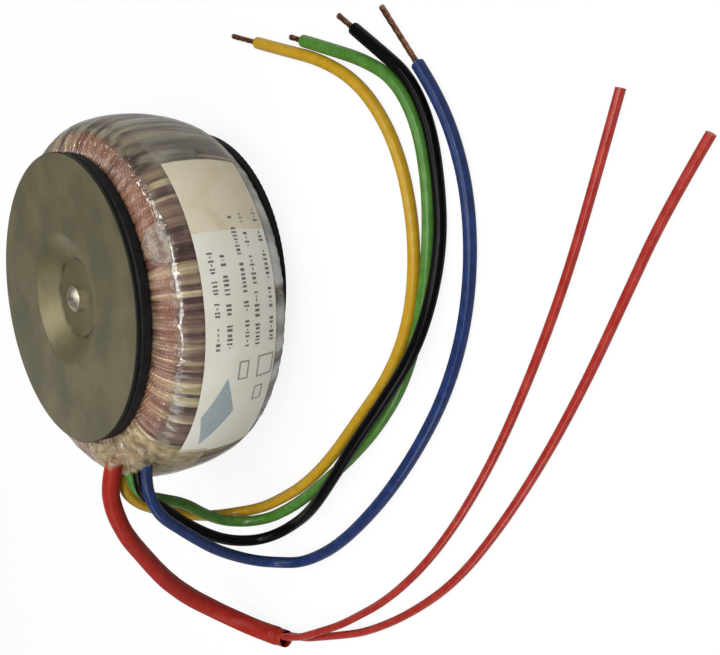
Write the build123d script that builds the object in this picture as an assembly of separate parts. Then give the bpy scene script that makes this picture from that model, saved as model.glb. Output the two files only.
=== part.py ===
"""A 200 VA toroidal mains transformer with flying leads, lying flat on its lower mounting disc.

The toroid's axis is +Z, and the origin is where it meets the floor. +X points to
the right of the rating label and -Y out of the label. All sizes are in millimetres.

From the inside out the toroid is a strip-wound core, its insulation, the primary winding, more
insulation, the secondary winding with its separate outer turns, and a clear film. A dished steel
disc and a rubber pad clamp it from each side, on one screw through the bore.
"""

from build123d import *
from math import acos, atan2, cos, degrees, hypot, pi, radians, sin, sqrt, tan
import os

# ---- finished toroid ------------------------------------------------------------------
BODY_RADIUS = 58.0          # over the clear film, at mid height
BODY_HEIGHT = 43.6
BORE_RADIUS = 20.0
BARREL_RADIUS = 47.0        # the bulging outer wall, seen in section
SHOULDER_RADIUS = 13.0      # the rounding from the wall to the flat ends
BORE_EDGE_RADIUS = 7.0
SCREW_SHIFT = 1.8           # the screw and its discs were clamped a little off the axis, towards +X

# ---- thickness of each layer, from the outside in -------------------------------------
FILM = 0.30
SECONDARY_WALL = 2.40
SECONDARY_BORE = 3.20       # the turns crowd into more layers inside the bore
MIDDLE_WRAP = 0.60
PRIMARY_WALL = 6.70
PRIMARY_END = 4.00
PRIMARY_BORE = 3.90
CORE_WRAP = 0.50
CORE_EDGE_RADIUS = 0.6

# ---- outer turns of the secondary: each is a flat pair of wires -----------------------
TURNS = 104
TURN_WIDTH = 2.30
TURN_CREST = 1.50           # width of the pair's outer face
TURN_HEIGHT = 1.20
TURN_ROOM = 1.80            # depth left for the turns over the packed layers
TURN_CLEARANCE = 0.05
BARREL_STEPS = 3            # straight pieces that a turn bends into along the wall
SHOULDER_STEPS = 3

# ---- mounting hardware ----------------------------------------------------------------
SHEET = 1.2                 # thickness of both discs
UPPER_DISC_RADIUS = 44.5
LOWER_DISC_RADIUS = 40.0
DISH_RADIUS = 20.0          # where the dish starts to fall
DISH_FLOOR_RADIUS = 12.0
UPPER_DISH_DEPTH = 4.8
LOWER_DISH_DEPTH = 6.0      # deep enough to keep the screw's end off the floor
DISH_BEND = 2.0
DISC_EDGE = 0.2
DISC_HOLE_RADIUS = 2.3
UPPER_PAD_RADIUS = 44.2
LOWER_PAD_RADIUS = 46.3
PAD_THICKNESS = 3.0
PAD_EDGE = 0.4
UPPER_PAD_SHIFT = 1.4       # the pads were laid off centre: the upper towards -Y,
LOWER_PAD_SHIFT = 4.0       # the lower towards +X
DISH_CLEARANCE = 1.0        # between a dish and the hole of its pad

# ---- M4 fasteners ---------------------------------------------------------------------
SCREW_RADIUS = 2.0
SCREW_END_INSET = 0.2       # of the screw's end inside the nut's outer face
HEAD_RADIUS = 4.0
HEAD_HEIGHT = 3.1
HEAD_CROWN_RADIUS = 6.5
RECESS_SPAN = 4.4
RECESS_SLOT = 0.95
RECESS_DEPTH = 2.0
RECESS_DRAFT_ANGLE = 8.0
WASHER_RADIUS = 4.5
WASHER_HOLE_RADIUS = 2.15
WASHER_THICKNESS = 0.8
NUT_ACROSS_FLATS = 7.0
NUT_HEIGHT = 3.2
NUT_BEVEL = 0.35
THREAD_CLEARANCE = 0.02

# ---- rating label and tapes -----------------------------------------------------------
LABEL_HEIGHT = 24.0
LABEL_THICKNESS = 0.12
LABEL_START_ANGLE, LABEL_END_ANGLE = -145.5, -50.5      # round the toroid, from +X
COVER_START_ANGLE, COVER_END_ANGLE = -74.3, -36.0       # a film laps over the label's end
COVER_THICKNESS = 0.15
COVER_MARGIN = 1.5          # how far the film reaches past the label, up and down
TAPE_GAP = 0.05             # between one tape or label and what it lies on
ANCHOR_START_ANGLE, ANCHOR_END_ANGLE = 172.0, 212.0
ANCHOR_THICKNESS = 0.25
ANCHOR_LOW = 3.0            # height of the anchor tape's lower edge above mid height
ANCHOR_END_DROP = 0.8       # how far below the flat end its upper edge stops

# ---- leads ----------------------------------------------------------------------------
LEAD_RADIUS = 1.75
STRAND_RADIUS = 1.0
SLEEVE_RADIUS = 3.0
SLEEVE_BORE_RADIUS = 2.6
PRIMARY_LEAD_RADIUS = 1.15
PRIMARY_LEAD_OFFSET = 1.25  # of each primary lead from the sleeve's middle
STRIP_LENGTHS = {"yellow": 13.0, "green": 6.0, "black": 7.5, "blue": 20.0}

# ---- heights that follow ----------------------------------------------------------------
BODY_BASE = SHEET + PAD_THICKNESS
BODY_MIDDLE = BODY_BASE + BODY_HEIGHT / 2
BODY_TOP = BODY_BASE + BODY_HEIGHT
OVERALL_HEIGHT = BODY_TOP + PAD_THICKNESS + SHEET
PRIMARY_DEPTH = FILM + SECONDARY_WALL + MIDDLE_WRAP
PRIMARY_BORE_DEPTH = FILM + SECONDARY_BORE + MIDDLE_WRAP
CORE_RADIUS = BODY_RADIUS - PRIMARY_DEPTH - PRIMARY_WALL - CORE_WRAP
CORE_BORE_RADIUS = BORE_RADIUS + PRIMARY_BORE_DEPTH + PRIMARY_BORE + CORE_WRAP
CORE_HEIGHT = BODY_HEIGHT - 2 * (PRIMARY_DEPTH + PRIMARY_END + CORE_WRAP)
PAD_HOLE_RADIUS = DISH_RADIUS + DISH_CLEARANCE + LOWER_PAD_SHIFT
SCREW_SEAT = OVERALL_HEIGHT - UPPER_DISH_DEPTH
NUT_FACE = LOWER_DISH_DEPTH - WASHER_THICKNESS - NUT_HEIGHT
SCREW_LENGTH = SCREW_SEAT - NUT_FACE - SCREW_END_INSET

# ---- routes of the leads: from the anchor tape, over the shoulder, down to the floor --------
FLOOR = LEAD_RADIUS
YELLOW_ROUTE = [
    (-50.9, -12.4, 46.9), (-57, -12.1, 47.1), (-61.9, -10.5, 43.7), (-66, -8.2, 37.8),
    (-69.6, -6.8, 30.2), (-72.9, -6.8, 22.7), (-75.1, -7.8, 15.3), (-75.5, -11.3, 8.1),
    (-74.4, -18.9, 3.1), (-70.9, -28.1, FLOOR), (-65, -41.6, FLOOR), (-55.6, -56.5, FLOOR),
    (-42.5, -71.8, FLOOR), (-29.3, -87.4, FLOOR), (-14.5, -98.3, FLOOR), (3.6, -103.5, FLOOR),
    (21.2, -103.3, FLOOR), (36.1, -99, FLOOR), (49.8, -89.3, FLOOR), (59.3, -74.8, FLOOR),
    (65.8, -59.2, FLOOR), (70.8, -45.3, FLOOR),
]
GREEN_ROUTE = [
    (-50.9, -16.2, 46.2), (-55.9, -16.5, 46.3), (-60.5, -15.9, 42.2), (-63.5, -14.7, 35.2),
    (-67, -13.2, 27.4), (-72.4, -12.8, 20.8), (-76.2, -13.3, 14.5), (-78, -16.8, 7.9),
    (-77.2, -23.4, 3.3), (-73.8, -31.6, FLOOR), (-69.3, -41.1, FLOOR), (-61.7, -54.2, FLOOR),
    (-53.9, -66.8, FLOOR), (-43.8, -80.4, FLOOR), (-31, -92.7, FLOOR), (-15.2, -102, FLOOR),
    (3.4, -108.2, FLOOR), (20.2, -110.7, FLOOR), (35.9, -109.2, FLOOR), (47.9, -102.6, FLOOR),
    (55.8, -91.5, FLOOR), (61.7, -79.1, FLOOR), (66.5, -67.1, FLOOR),
]
BLACK_ROUTE = [
    (-50, -21.1, 45.7), (-54.8, -22, 46.9), (-59.2, -21.2, 44.8), (-63.6, -20.1, 40),
    (-69, -19.3, 34.4), (-74.2, -18.9, 28.2), (-79, -18.7, 21.3), (-82.2, -18.9, 14.5),
    (-83.5, -21.8, 7.8), (-81.9, -27.3, 3.5), (-78.2, -34.5, 1.7), (-74, -42.8, 3), (-68.2, -52.1, 5),
    (-59.1, -62.2, 5.4), (-47.8, -74.3, 5.8), (-35.1, -88.4, 5.6), (-22.7, -100.8, 5),
    (-9.8, -108.6, 3.7), (4.8, -112.7, FLOOR), (19.7, -114.3, FLOOR), (34.9, -113.3, FLOOR),
    (47.3, -107.6, FLOOR), (56.6, -98.1, FLOOR), (64.8, -88.3, FLOOR),
]
BLUE_ROUTE = [
    (-49, -24.6, 44.8), (-53.8, -26.7, 46.8), (-59.3, -28, 46.7), (-64.9, -27.5, 43.9),
    (-70, -26.4, 38.3), (-75.1, -26, 32.6), (-80.5, -25.2, 26), (-85, -24.9, 18.7),
    (-88.6, -25.8, 11.6), (-90.4, -29.5, 5.5), (-90.2, -36.3, 2.5), (-86.7, -45.7, FLOOR),
    (-81.4, -56.1, FLOOR), (-73.5, -68.2, FLOOR), (-63, -81.5, FLOOR), (-49.4, -95.7, FLOOR),
    (-34.6, -107.9, FLOOR), (-18.7, -116.7, FLOOR), (-1.6, -121.8, FLOOR), (15.3, -123.3, FLOOR),
    (29.7, -120.9, FLOOR), (41.9, -116.2, FLOOR), (51.1, -111.1, FLOOR),
]
SLEEVE_ROUTE = [
    (-47.2, -16.1, 50.3), (-55.3, -13.4, 52.2), (-64, -11.1, 50.5), (-72.8, -8.5, 46.5),
    (-80.8, -4.8, 40.4), (-87.8, -2.7, 35.4), (-95.1, 0.2, 29.3), (-103.1, 2.1, 21.3),
    (-109.9, 1.3, 13.2), (-115.8, -4.2, 6.3), (-118.2, -13.1, 3.4), (-118.1, -23.9, 3),
]
PRIMARY_A_TAIL = [
    (-116.7, -31, 2.2), (-112.9, -42.8, 1.15), (-106.1, -57.9, 1.15), (-95.7, -74.8, 1.15),
    (-82.8, -91.7, 1.15), (-68.1, -106.7, 1.15), (-50.2, -121.4, 1.15), (-30.3, -134.8, 1.15),
    (-8.6, -147.6, 1.15), (12.7, -158, 1.15), (31.4, -165.8, 1.15),
]
PRIMARY_B_TAIL = [
    (-119.2, -33, 2), (-116.6, -46.9, 1.15), (-108.5, -64.9, 1.15), (-97.7, -83.9, 1.15),
    (-84.7, -103.5, 1.15), (-67.3, -121.2, 1.15), (-48, -137.6, 1.15), (-29.3, -151.3, 1.15),
    (-11, -163.2, 1.15), (4.7, -173.4, 1.15), (18.7, -184.1, 1.15),
]


# ---- toroid -----------------------------------------------------------------------------
def barrel_centre():
    """Radius at which the outer wall's arc is centred; its height is mid height."""
    return BODY_RADIUS - BARREL_RADIUS


def shoulder_centre():
    """Radius and height, from mid height, of the shoulder arc, tangent to the wall and the flat end."""
    rise = BODY_HEIGHT / 2 - SHOULDER_RADIUS
    run = sqrt((BARREL_RADIUS - SHOULDER_RADIUS) ** 2 - rise**2)
    return barrel_centre() + run, rise


def wall_angle():
    """Angle above level, in degrees, where the wall's arc meets the shoulder's."""
    radius, rise = shoulder_centre()
    return degrees(atan2(rise, radius - barrel_centre()))


def toroid_section(depth, bore_depth):
    """Half section of the toroid, moved in by depth at the wall and ends and bore_depth in the bore."""
    wall_x = barrel_centre()
    shoulder_x, shoulder_y = shoulder_centre()
    meet = wall_angle()
    half = BODY_HEIGHT / 2 - depth
    bore = BORE_RADIUS + bore_depth
    lip = BORE_EDGE_RADIUS
    edges = [
        CenterArc((wall_x, 0), BARREL_RADIUS - depth, -meet, 2 * meet),
        CenterArc((shoulder_x, shoulder_y), SHOULDER_RADIUS - depth, meet, 90 - meet),
        CenterArc((shoulder_x, -shoulder_y), SHOULDER_RADIUS - depth, -90, 90 - meet),
        CenterArc((bore + lip, half - lip), lip, 90, 90),
        CenterArc((bore + lip, lip - half), lip, 180, 90),
        Line((shoulder_x, half), (bore + lip, half)),
        Line((shoulder_x, -half), (bore + lip, -half)),
        Line((bore, half - lip), (bore, lip - half)),
    ]
    return make_face(edges)


def core_section(growth):
    """Half section of the wound strip core, grown all round by the thickness of its wrap."""
    width = CORE_RADIUS - CORE_BORE_RADIUS + 2 * growth
    height = CORE_HEIGHT + 2 * growth
    middle = (CORE_RADIUS + CORE_BORE_RADIUS) / 2
    return Pos(middle, 0) * RectangleRounded(width, height, CORE_EDGE_RADIUS + growth)


def spin(section, start=0.0, sweep_angle=360.0):
    """Revolve a half section, drawn about mid height, round the toroid's axis."""
    body = revolve(Plane.XZ * section, Axis.Z, sweep_angle)
    return Pos(0, 0, BODY_MIDDLE) * Rot(0, 0, start) * body


def core():
    return spin(core_section(0))


def core_insulation():
    return spin(core_section(CORE_WRAP) - core_section(0))


def primary_winding():
    return spin(toroid_section(PRIMARY_DEPTH, PRIMARY_BORE_DEPTH) - core_section(CORE_WRAP))


def winding_insulation():
    outer = toroid_section(FILM + SECONDARY_WALL, FILM + SECONDARY_BORE)
    inner = toroid_section(PRIMARY_DEPTH, PRIMARY_BORE_DEPTH)
    return spin(outer - inner)


def packed_turns():
    """The secondary's lower layers, with a step round the outside where its separate turns lie."""
    outside = Pos(shoulder_centre()[0] + BODY_RADIUS / 2, 0) * Rectangle(BODY_RADIUS, BODY_HEIGHT)
    room = (toroid_section(FILM, FILM) - toroid_section(FILM + TURN_ROOM, FILM)) & outside
    whole = toroid_section(FILM, FILM) - toroid_section(FILM + SECONDARY_WALL, FILM + SECONDARY_BORE)
    return spin(whole - room)


def turn_route():
    """Middle line of one outer turn, in straight pieces round the shoulders and the wall."""
    depth = FILM + TURN_CLEARANCE + TURN_HEIGHT / 2
    shoulder_x, shoulder_y = shoulder_centre()
    meet = wall_angle()
    upper = []
    for step in range(SHOULDER_STEPS):
        angle = radians(90 - (90 - meet) * step / SHOULDER_STEPS)
        reach = SHOULDER_RADIUS - depth
        upper.append((shoulder_x + reach * cos(angle), shoulder_y + reach * sin(angle)))
    wall = []
    for step in range(BARREL_STEPS + 1):
        angle = radians(meet - 2 * meet * step / BARREL_STEPS)
        reach = BARREL_RADIUS - depth
        wall.append((barrel_centre() + reach * cos(angle), reach * sin(angle)))
    lower = [(x, -y) for x, y in reversed(upper)]
    return [(x, 0, BODY_MIDDLE + y) for x, y in upper + wall + lower]


def outer_turn():
    """One turn: a flat pair of wires, narrower at its outer face, bent over the shoulders."""
    points = [Vector(*point) for point in turn_route()]
    ahead = points[1] - points[0]
    start = Plane(points[0] + Vector(TURN_CLEARANCE, 0, 0), x_dir=(0, 1, 0), z_dir=ahead)
    points[0] = start.origin
    outwards = 1 if start.y_dir.Z > 0 else -1
    high = outwards * TURN_HEIGHT / 2
    outline = [
        (-TURN_WIDTH / 2, -high), (TURN_WIDTH / 2, -high),
        (TURN_CREST / 2, high), (-TURN_CREST / 2, high),
    ]
    section = start * make_face(Polyline(*outline, close=True))
    return sweep(section, path=Polyline(*points), transition=Transition.RIGHT)


def secondary_winding():
    turn = outer_turn()
    turns = [Rot(0, 0, 360 * place / TURNS) * turn for place in range(TURNS)]
    return [packed_turns(), *turns]


def outer_film():
    return spin(toroid_section(0, 0) - toroid_section(FILM, FILM))


def wall_skin(inner_depth, outer_depth, low, high, start, end):
    """A thin skin on the outer wall, between two heights from mid height and two angles."""
    ring = toroid_section(outer_depth, 0) - toroid_section(inner_depth, 0)
    middle = shoulder_centre()[0] + BODY_RADIUS / 2
    window = Pos(middle, (low + high) / 2) * Rectangle(BODY_RADIUS, high - low)
    return spin(ring & window, start, end - start)


def rating_label():
    half = LABEL_HEIGHT / 2
    angles = LABEL_START_ANGLE, LABEL_END_ANGLE
    return wall_skin(-TAPE_GAP, -TAPE_GAP - LABEL_THICKNESS, -half, half, *angles)


def label_cover_film():
    inner = -LABEL_THICKNESS - 2 * TAPE_GAP
    outer = inner - COVER_THICKNESS
    reach = LABEL_HEIGHT / 2 + COVER_MARGIN
    return wall_skin(inner, outer, -reach, reach, COVER_START_ANGLE, COVER_END_ANGLE)


def lead_anchor_tape():
    reach = BODY_HEIGHT / 2 - ANCHOR_END_DROP
    angles = ANCHOR_START_ANGLE, ANCHOR_END_ANGLE
    return wall_skin(-TAPE_GAP, -TAPE_GAP - ANCHOR_THICKNESS, ANCHOR_LOW, reach, *angles)


# ---- mounting hardware ------------------------------------------------------------------
def dish_line(radius, depth, height):
    """One face of a dished disc: flat rim, conical fall and flat floor, with bent corners."""
    points = [
        (DISC_HOLE_RADIUS, height - depth), (DISH_FLOOR_RADIUS, height - depth),
        (DISH_RADIUS, height), (radius, height),
    ]
    return FilletPolyline(*points, radius=[DISH_BEND, DISH_BEND])


def dished_disc(radius, depth):
    """A pressed disc with its upper rim face at height 0 and its dish falling below it."""
    upper = dish_line(radius, depth, 0)
    lower = dish_line(radius, depth, -SHEET)
    edges = [*upper.edges(), *lower.edges(), Line(upper @ 0, lower @ 0), Line(upper @ 1, lower @ 1)]
    section = make_face(edges)
    rim = section.vertices().sort_by(Axis.X)[-2:]
    section = chamfer(rim, DISC_EDGE)
    return revolve(Plane.XZ * section, Axis.Z)


def upper_disc():
    return Pos(SCREW_SHIFT, 0, OVERALL_HEIGHT) * dished_disc(UPPER_DISC_RADIUS, UPPER_DISH_DEPTH)


def lower_disc():
    return Pos(SCREW_SHIFT, 0, 0) * Rot(180, 0, 0) * dished_disc(LOWER_DISC_RADIUS, LOWER_DISH_DEPTH)


def rubber_pad(radius):
    pad = Cylinder(radius, PAD_THICKNESS, align=(Align.CENTER, Align.CENTER, Align.MIN))
    pad = fillet(pad.edges(), PAD_EDGE)
    return pad - Cylinder(PAD_HOLE_RADIUS, 3 * PAD_THICKNESS)


def upper_pad():
    return Pos(SCREW_SHIFT, -UPPER_PAD_SHIFT, BODY_TOP) * rubber_pad(UPPER_PAD_RADIUS)


def lower_pad():
    return Pos(SCREW_SHIFT + LOWER_PAD_SHIFT, 0, SHEET) * rubber_pad(LOWER_PAD_RADIUS)


def centre_screw():
    """Pan head screw with a cross recess; its bearing face is the upper dish's floor."""
    side_angle = degrees(acos(HEAD_RADIUS / HEAD_CROWN_RADIUS))
    side_height = HEAD_HEIGHT - HEAD_CROWN_RADIUS * (1 - sin(radians(side_angle)))
    outline = [
        CenterArc((0, HEAD_HEIGHT - HEAD_CROWN_RADIUS), HEAD_CROWN_RADIUS, side_angle, 90 - side_angle),
        Line((HEAD_RADIUS, side_height), (HEAD_RADIUS, 0)),
        Line((HEAD_RADIUS, 0), (SCREW_RADIUS, 0)),
        Line((SCREW_RADIUS, 0), (SCREW_RADIUS, -SCREW_LENGTH)),
        Line((SCREW_RADIUS, -SCREW_LENGTH), (0, -SCREW_LENGTH)),
        Line((0, -SCREW_LENGTH), (0, HEAD_HEIGHT)),
    ]
    screw = revolve(Plane.XZ * make_face(outline), Axis.Z)
    draft = 2 * RECESS_DEPTH * tan(radians(RECESS_DRAFT_ANGLE))
    mouth = Pos(0, 0, HEAD_HEIGHT) * Rectangle(RECESS_SPAN, RECESS_SLOT)
    bottom = Pos(0, 0, HEAD_HEIGHT - RECESS_DEPTH) * Rectangle(RECESS_SPAN - draft, RECESS_SLOT - draft)
    wing = loft([bottom, mouth])
    return Pos(SCREW_SHIFT, 0, SCREW_SEAT) * (screw - (wing + Rot(0, 0, 90) * wing))


def plain_washer():
    ring = Cylinder(WASHER_RADIUS, WASHER_THICKNESS) - Cylinder(WASHER_HOLE_RADIUS, WASHER_THICKNESS)
    return Pos(SCREW_SHIFT, 0, LOWER_DISH_DEPTH - WASHER_THICKNESS / 2) * ring


def hex_nut():
    corner_radius = NUT_ACROSS_FLATS / 2 / cos(pi / 6)
    blank = extrude(RegularPolygon(corner_radius, 6), NUT_HEIGHT / 2, both=True)
    bevel = Cylinder(corner_radius, NUT_HEIGHT)
    bevel = chamfer(bevel.edges().filter_by(GeomType.CIRCLE), NUT_BEVEL, NUT_BEVEL * 2)
    nut = (blank & bevel) - Cylinder(SCREW_RADIUS + THREAD_CLEARANCE, NUT_HEIGHT)
    return Pos(SCREW_SHIFT, 0, NUT_FACE + NUT_HEIGHT / 2) * nut


# ---- leads ------------------------------------------------------------------------------
def corner_radii(route):
    """Radius at each inner point: as large as 0.45 of the shorter run beside it allows."""
    points = [Vector(*point) for point in route]
    radii = []
    for before, here, after in zip(points, points[1:], points[2:]):
        turn = radians((here - before).get_angle(after - here))
        shorter = min((here - before).length, (after - here).length)
        radii.append(0.45 * shorter / tan(turn / 2))
    return radii


def lead_path(route):
    return FilletPolyline(*route, radius=corner_radii(route))


def tube(route, radius, bore=0.0):
    """A round tube along a route of straight runs joined by tangent arcs."""
    path = lead_path(route)
    section = Circle(radius)
    if bore:
        section -= Circle(bore)
    return sweep(Plane(path @ 0, z_dir=path % 0) * section, path=path)


def strand_route(route, length):
    """A stripped end, straight on from the lead's last run."""
    last, before = Vector(*route[-1]), Vector(*route[-2])
    return [last, last + (last - before).normalized() * length]


def strands(route, length):
    start, end = strand_route(route, length)
    return extrude(Plane(start, z_dir=end - start) * Circle(STRAND_RADIUS), length)


def beside(route, offset):
    """The same route moved sideways, level, by an offset to its right."""
    points = [Vector(*point) for point in route]
    moved = []
    for place, point in enumerate(points):
        ahead = points[min(place + 1, len(points) - 1)] - points[max(place - 1, 0)]
        right = Vector(ahead.Y, -ahead.X, 0).normalized()
        moved.append(tuple(point + right * offset))
    return moved


def primary_route(tail, offset):
    """A primary lead runs beside its twin inside the sleeve, and by itself beyond the mouth."""
    return beside(SLEEVE_ROUTE, offset)[:-1] + tail


LEAD_ROUTES = {
    "yellow": YELLOW_ROUTE, "green": GREEN_ROUTE, "black": BLACK_ROUTE, "blue": BLUE_ROUTE,
}


def report_route(name, route, radius, solid, bore=0.0):
    """Print a lead's length, its tightest bend and how well its volume fits its length."""
    path = lead_path(route)
    expected = pi * (radius**2 - bore**2) * path.length
    print(f"{name}: length {path.length:.0f}, tightest bend {min(corner_radii(route)):.1f},",
          f"volume ratio {solid.volume / expected:.4f}")


# ---- assembly ---------------------------------------------------------------------------
def build_parts():
    """Every separate piece of the transformer, by name."""
    parts = {
        "core": core(),
        "core_insulation": core_insulation(),
        "primary_winding": primary_winding(),
        "winding_insulation": winding_insulation(),
        "secondary_winding": secondary_winding(),
        "outer_film": outer_film(),
        "rating_label": rating_label(),
        "label_cover_film": label_cover_film(),
        "lead_anchor_tape": lead_anchor_tape(),
        "upper_pad": upper_pad(),
        "lower_pad": lower_pad(),
        "upper_disc": upper_disc(),
        "lower_disc": lower_disc(),
        "centre_screw": centre_screw(),
        "plain_washer": plain_washer(),
        "hex_nut": hex_nut(),
    }
    for colour, route in LEAD_ROUTES.items():
        lead = tube(route, LEAD_RADIUS)
        report_route(f"{colour}_lead", route, LEAD_RADIUS, lead)
        parts[f"{colour}_lead"] = lead
        parts[f"{colour}_lead_strands"] = strands(route, STRIP_LENGTHS[colour])
    sleeve = tube(SLEEVE_ROUTE, SLEEVE_RADIUS, SLEEVE_BORE_RADIUS)
    report_route("primary_sleeve", SLEEVE_ROUTE, SLEEVE_RADIUS, sleeve, SLEEVE_BORE_RADIUS)
    parts["primary_sleeve"] = sleeve
    for name, tail, side in (("a", PRIMARY_A_TAIL, -1), ("b", PRIMARY_B_TAIL, 1)):
        route = primary_route(tail, side * PRIMARY_LEAD_OFFSET)
        lead = tube(route, PRIMARY_LEAD_RADIUS)
        report_route(f"primary_lead_{name}", route, PRIMARY_LEAD_RADIUS, lead)
        parts[f"primary_lead_{name}"] = lead
    return parts


def write_parts(parts):
    os.makedirs("parts", exist_ok=True)
    for name, piece in parts.items():
        shape = Compound(children=piece) if isinstance(piece, list) else piece
        export_step(shape, f"parts/{name}.step")


write_parts(build_parts())
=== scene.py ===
"""Dresses a toroidal mains transformer: film-wrapped windings, steel discs, rubber pads and leads.

The toroid's axis is +Z and the part stands on its lower disc. +X is to the right of the rating
label and -Y points out of it. Lengths are in metres unless a name says otherwise.
"""

import logging
import math
from collections.abc import Sequence
from dataclasses import dataclass, field
from enum import Enum

import bpy
import numpy as np
from mathutils import Matrix, Vector


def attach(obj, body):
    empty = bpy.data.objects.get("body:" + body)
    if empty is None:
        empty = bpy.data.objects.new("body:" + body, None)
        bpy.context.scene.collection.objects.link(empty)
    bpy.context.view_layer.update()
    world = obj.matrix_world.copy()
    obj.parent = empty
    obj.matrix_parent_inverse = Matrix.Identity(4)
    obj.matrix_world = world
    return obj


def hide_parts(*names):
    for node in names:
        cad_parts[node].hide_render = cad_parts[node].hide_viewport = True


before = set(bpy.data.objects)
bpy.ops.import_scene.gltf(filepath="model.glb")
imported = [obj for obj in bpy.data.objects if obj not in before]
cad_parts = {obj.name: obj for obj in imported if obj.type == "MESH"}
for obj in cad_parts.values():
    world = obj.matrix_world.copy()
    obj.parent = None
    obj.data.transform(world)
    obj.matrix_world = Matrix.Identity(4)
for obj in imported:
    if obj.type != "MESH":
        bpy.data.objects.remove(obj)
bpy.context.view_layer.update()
LOG = logging.getLogger("transformer")
MM = 0.001
Colour = tuple[float, float, float, float]
Point = tuple[float, float, float]
# a mesh's points and its faces
Shape = tuple[np.ndarray, np.ndarray]


# ---- colours, shader nodes and meshes ---------------------------------------------------
def linear(code: str) -> Colour:
    """Turn an sRGB colour into linear light.

    Each channel is c / 12.92 up to 0.04045, and ((c + 0.055) / 1.055) ** 2.4 above it.

    Args:
        code: The colour as six hex digits, with or without a leading #.

    Returns:
        Red, green, blue and an alpha of 1.
    """
    code = code.lstrip("#")
    channels = [int(code[place:place + 2], 16) / 255 for place in (0, 2, 4)]
    lit = [c / 12.92 if c <= 0.04045 else ((c + 0.055) / 1.055) ** 2.4 for c in channels]
    return (lit[0], lit[1], lit[2], 1.0)


def add(
    tree: bpy.types.NodeTree,
    kind: str,
    inputs: dict | None = None,
    **settings: object,
) -> bpy.types.Node:
    """Add a shader node with its settings, constants and links.

    Args:
        tree: The node tree that gets the node.
        kind: The node's Blender type, without its leading ShaderNode.
        inputs: A constant or an output socket for each input, by name or number.
        settings: Attributes of the node. "stops" gives a colour ramp's positions and hex colours.

    Returns:
        The new node.
    """
    node = tree.nodes.new("ShaderNode" + kind)
    stops = settings.pop("stops", None)
    for name, value in settings.items():
        setattr(node, name, value)
    if stops:
        elements = node.color_ramp.elements
        while len(elements) < len(stops):
            elements.new(0.5)
        for element, (position, code) in zip(elements, stops):
            element.position = position
            element.color = linear(code)
    for name, value in (inputs or {}).items():
        if isinstance(value, bpy.types.NodeSocket):
            tree.links.new(value, node.inputs[name])
        else:
            node.inputs[name].default_value = value
    return node


def grain(millimetres: float) -> float:
    """The scale of a texture whose cells are this many millimetres across, 1000 / size."""
    return 1000.0 / millimetres


def grid_faces(rows: int, columns: int, close_rows: bool, close_columns: bool) -> np.ndarray:
    """Number the four corners of every face of a grid of points.

    Face (i, j) joins points (i, j), (i, j + 1), (i + 1, j + 1) and (i + 1, j), counted round
    where the grid closes.

    Args:
        rows: How many rows of points there are.
        columns: How many points a row has.
        close_rows: Whether the last row joins the first.
        close_columns: Whether each row's last point joins its first.

    Returns:
        An array of four point numbers a face.
    """
    i = np.arange(rows if close_rows else rows - 1)[:, None]
    j = np.arange(columns if close_columns else columns - 1)[None, :]
    after_i = (i + 1) % rows
    after_j = (j + 1) % columns
    corners = (
        i * columns + j,
        i * columns + after_j,
        after_i * columns + after_j,
        after_i * columns + j,
    )
    shape = np.broadcast_shapes(i.shape, j.shape)
    return np.stack([np.broadcast_to(corner, shape) for corner in corners], -1).reshape(-1, 4)


def make_object(
    name: str, points: np.ndarray, faces: np.ndarray, smooth: bool = True
) -> bpy.types.Object:
    """Put points and equal-sided faces into a new mesh object at the origin.

    Args:
        name: The object's name.
        points: One row of x, y, z a point.
        faces: One row of point numbers a face.
        smooth: Whether the faces are shaded smooth.

    Returns:
        The object, linked to the scene.
    """
    mesh = bpy.data.meshes.new(name)
    sides = faces.shape[1]
    mesh.vertices.add(len(points))
    mesh.vertices.foreach_set("co", np.ascontiguousarray(points, np.float32).ravel())
    mesh.loops.add(faces.size)
    mesh.loops.foreach_set("vertex_index", np.ascontiguousarray(faces, np.int32).ravel())
    mesh.polygons.add(len(faces))
    mesh.polygons.foreach_set("loop_start", np.arange(0, faces.size, sides, dtype=np.int32))
    mesh.polygons.foreach_set("use_smooth", np.full(len(faces), smooth))
    mesh.update(calc_edges=True)
    mesh.validate()
    thing = bpy.data.objects.new(name, mesh)
    bpy.context.scene.collection.objects.link(thing)
    return thing


def set_attribute(thing: bpy.types.Object, name: str, values: np.ndarray) -> None:
    """Store one number a point on a mesh, for its material to read.

    Args:
        thing: The mesh object.
        name: The attribute's name.
        values: One number a point.
    """
    attribute = thing.data.attributes.new(name, "FLOAT", "POINT")
    attribute.data.foreach_set("value", np.ascontiguousarray(values, np.float32).ravel())


def ripple(
    x: np.ndarray, y: np.ndarray, seed: int, waves: int = 8, finest: float = 6.0
) -> np.ndarray:
    """A smooth random height over two coordinates.

    The height is the mean of sines, sin(a x + b y + c), with a and b drawn evenly up to the
    finest rate and c a random phase, scaled to about -1 to 1.

    Args:
        x: First coordinate.
        y: Second coordinate.
        seed: Seed of the random draw.
        waves: How many sines are added.
        finest: Highest rate of turn, in radians a unit.

    Returns:
        Heights in the shape of x and y together.
    """
    draw = np.random.default_rng(seed)
    rates = draw.uniform(-finest, finest, (waves, 2))
    phases = draw.uniform(0, 2 * np.pi, waves)
    total = np.zeros(np.broadcast_shapes(np.shape(x), np.shape(y)))
    for (a, b), c in zip(rates, phases):
        total = total + np.sin(a * x + b * y + c)
    peak = 1.6 * math.sqrt(waves / 2)
    return total / peak


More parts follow.
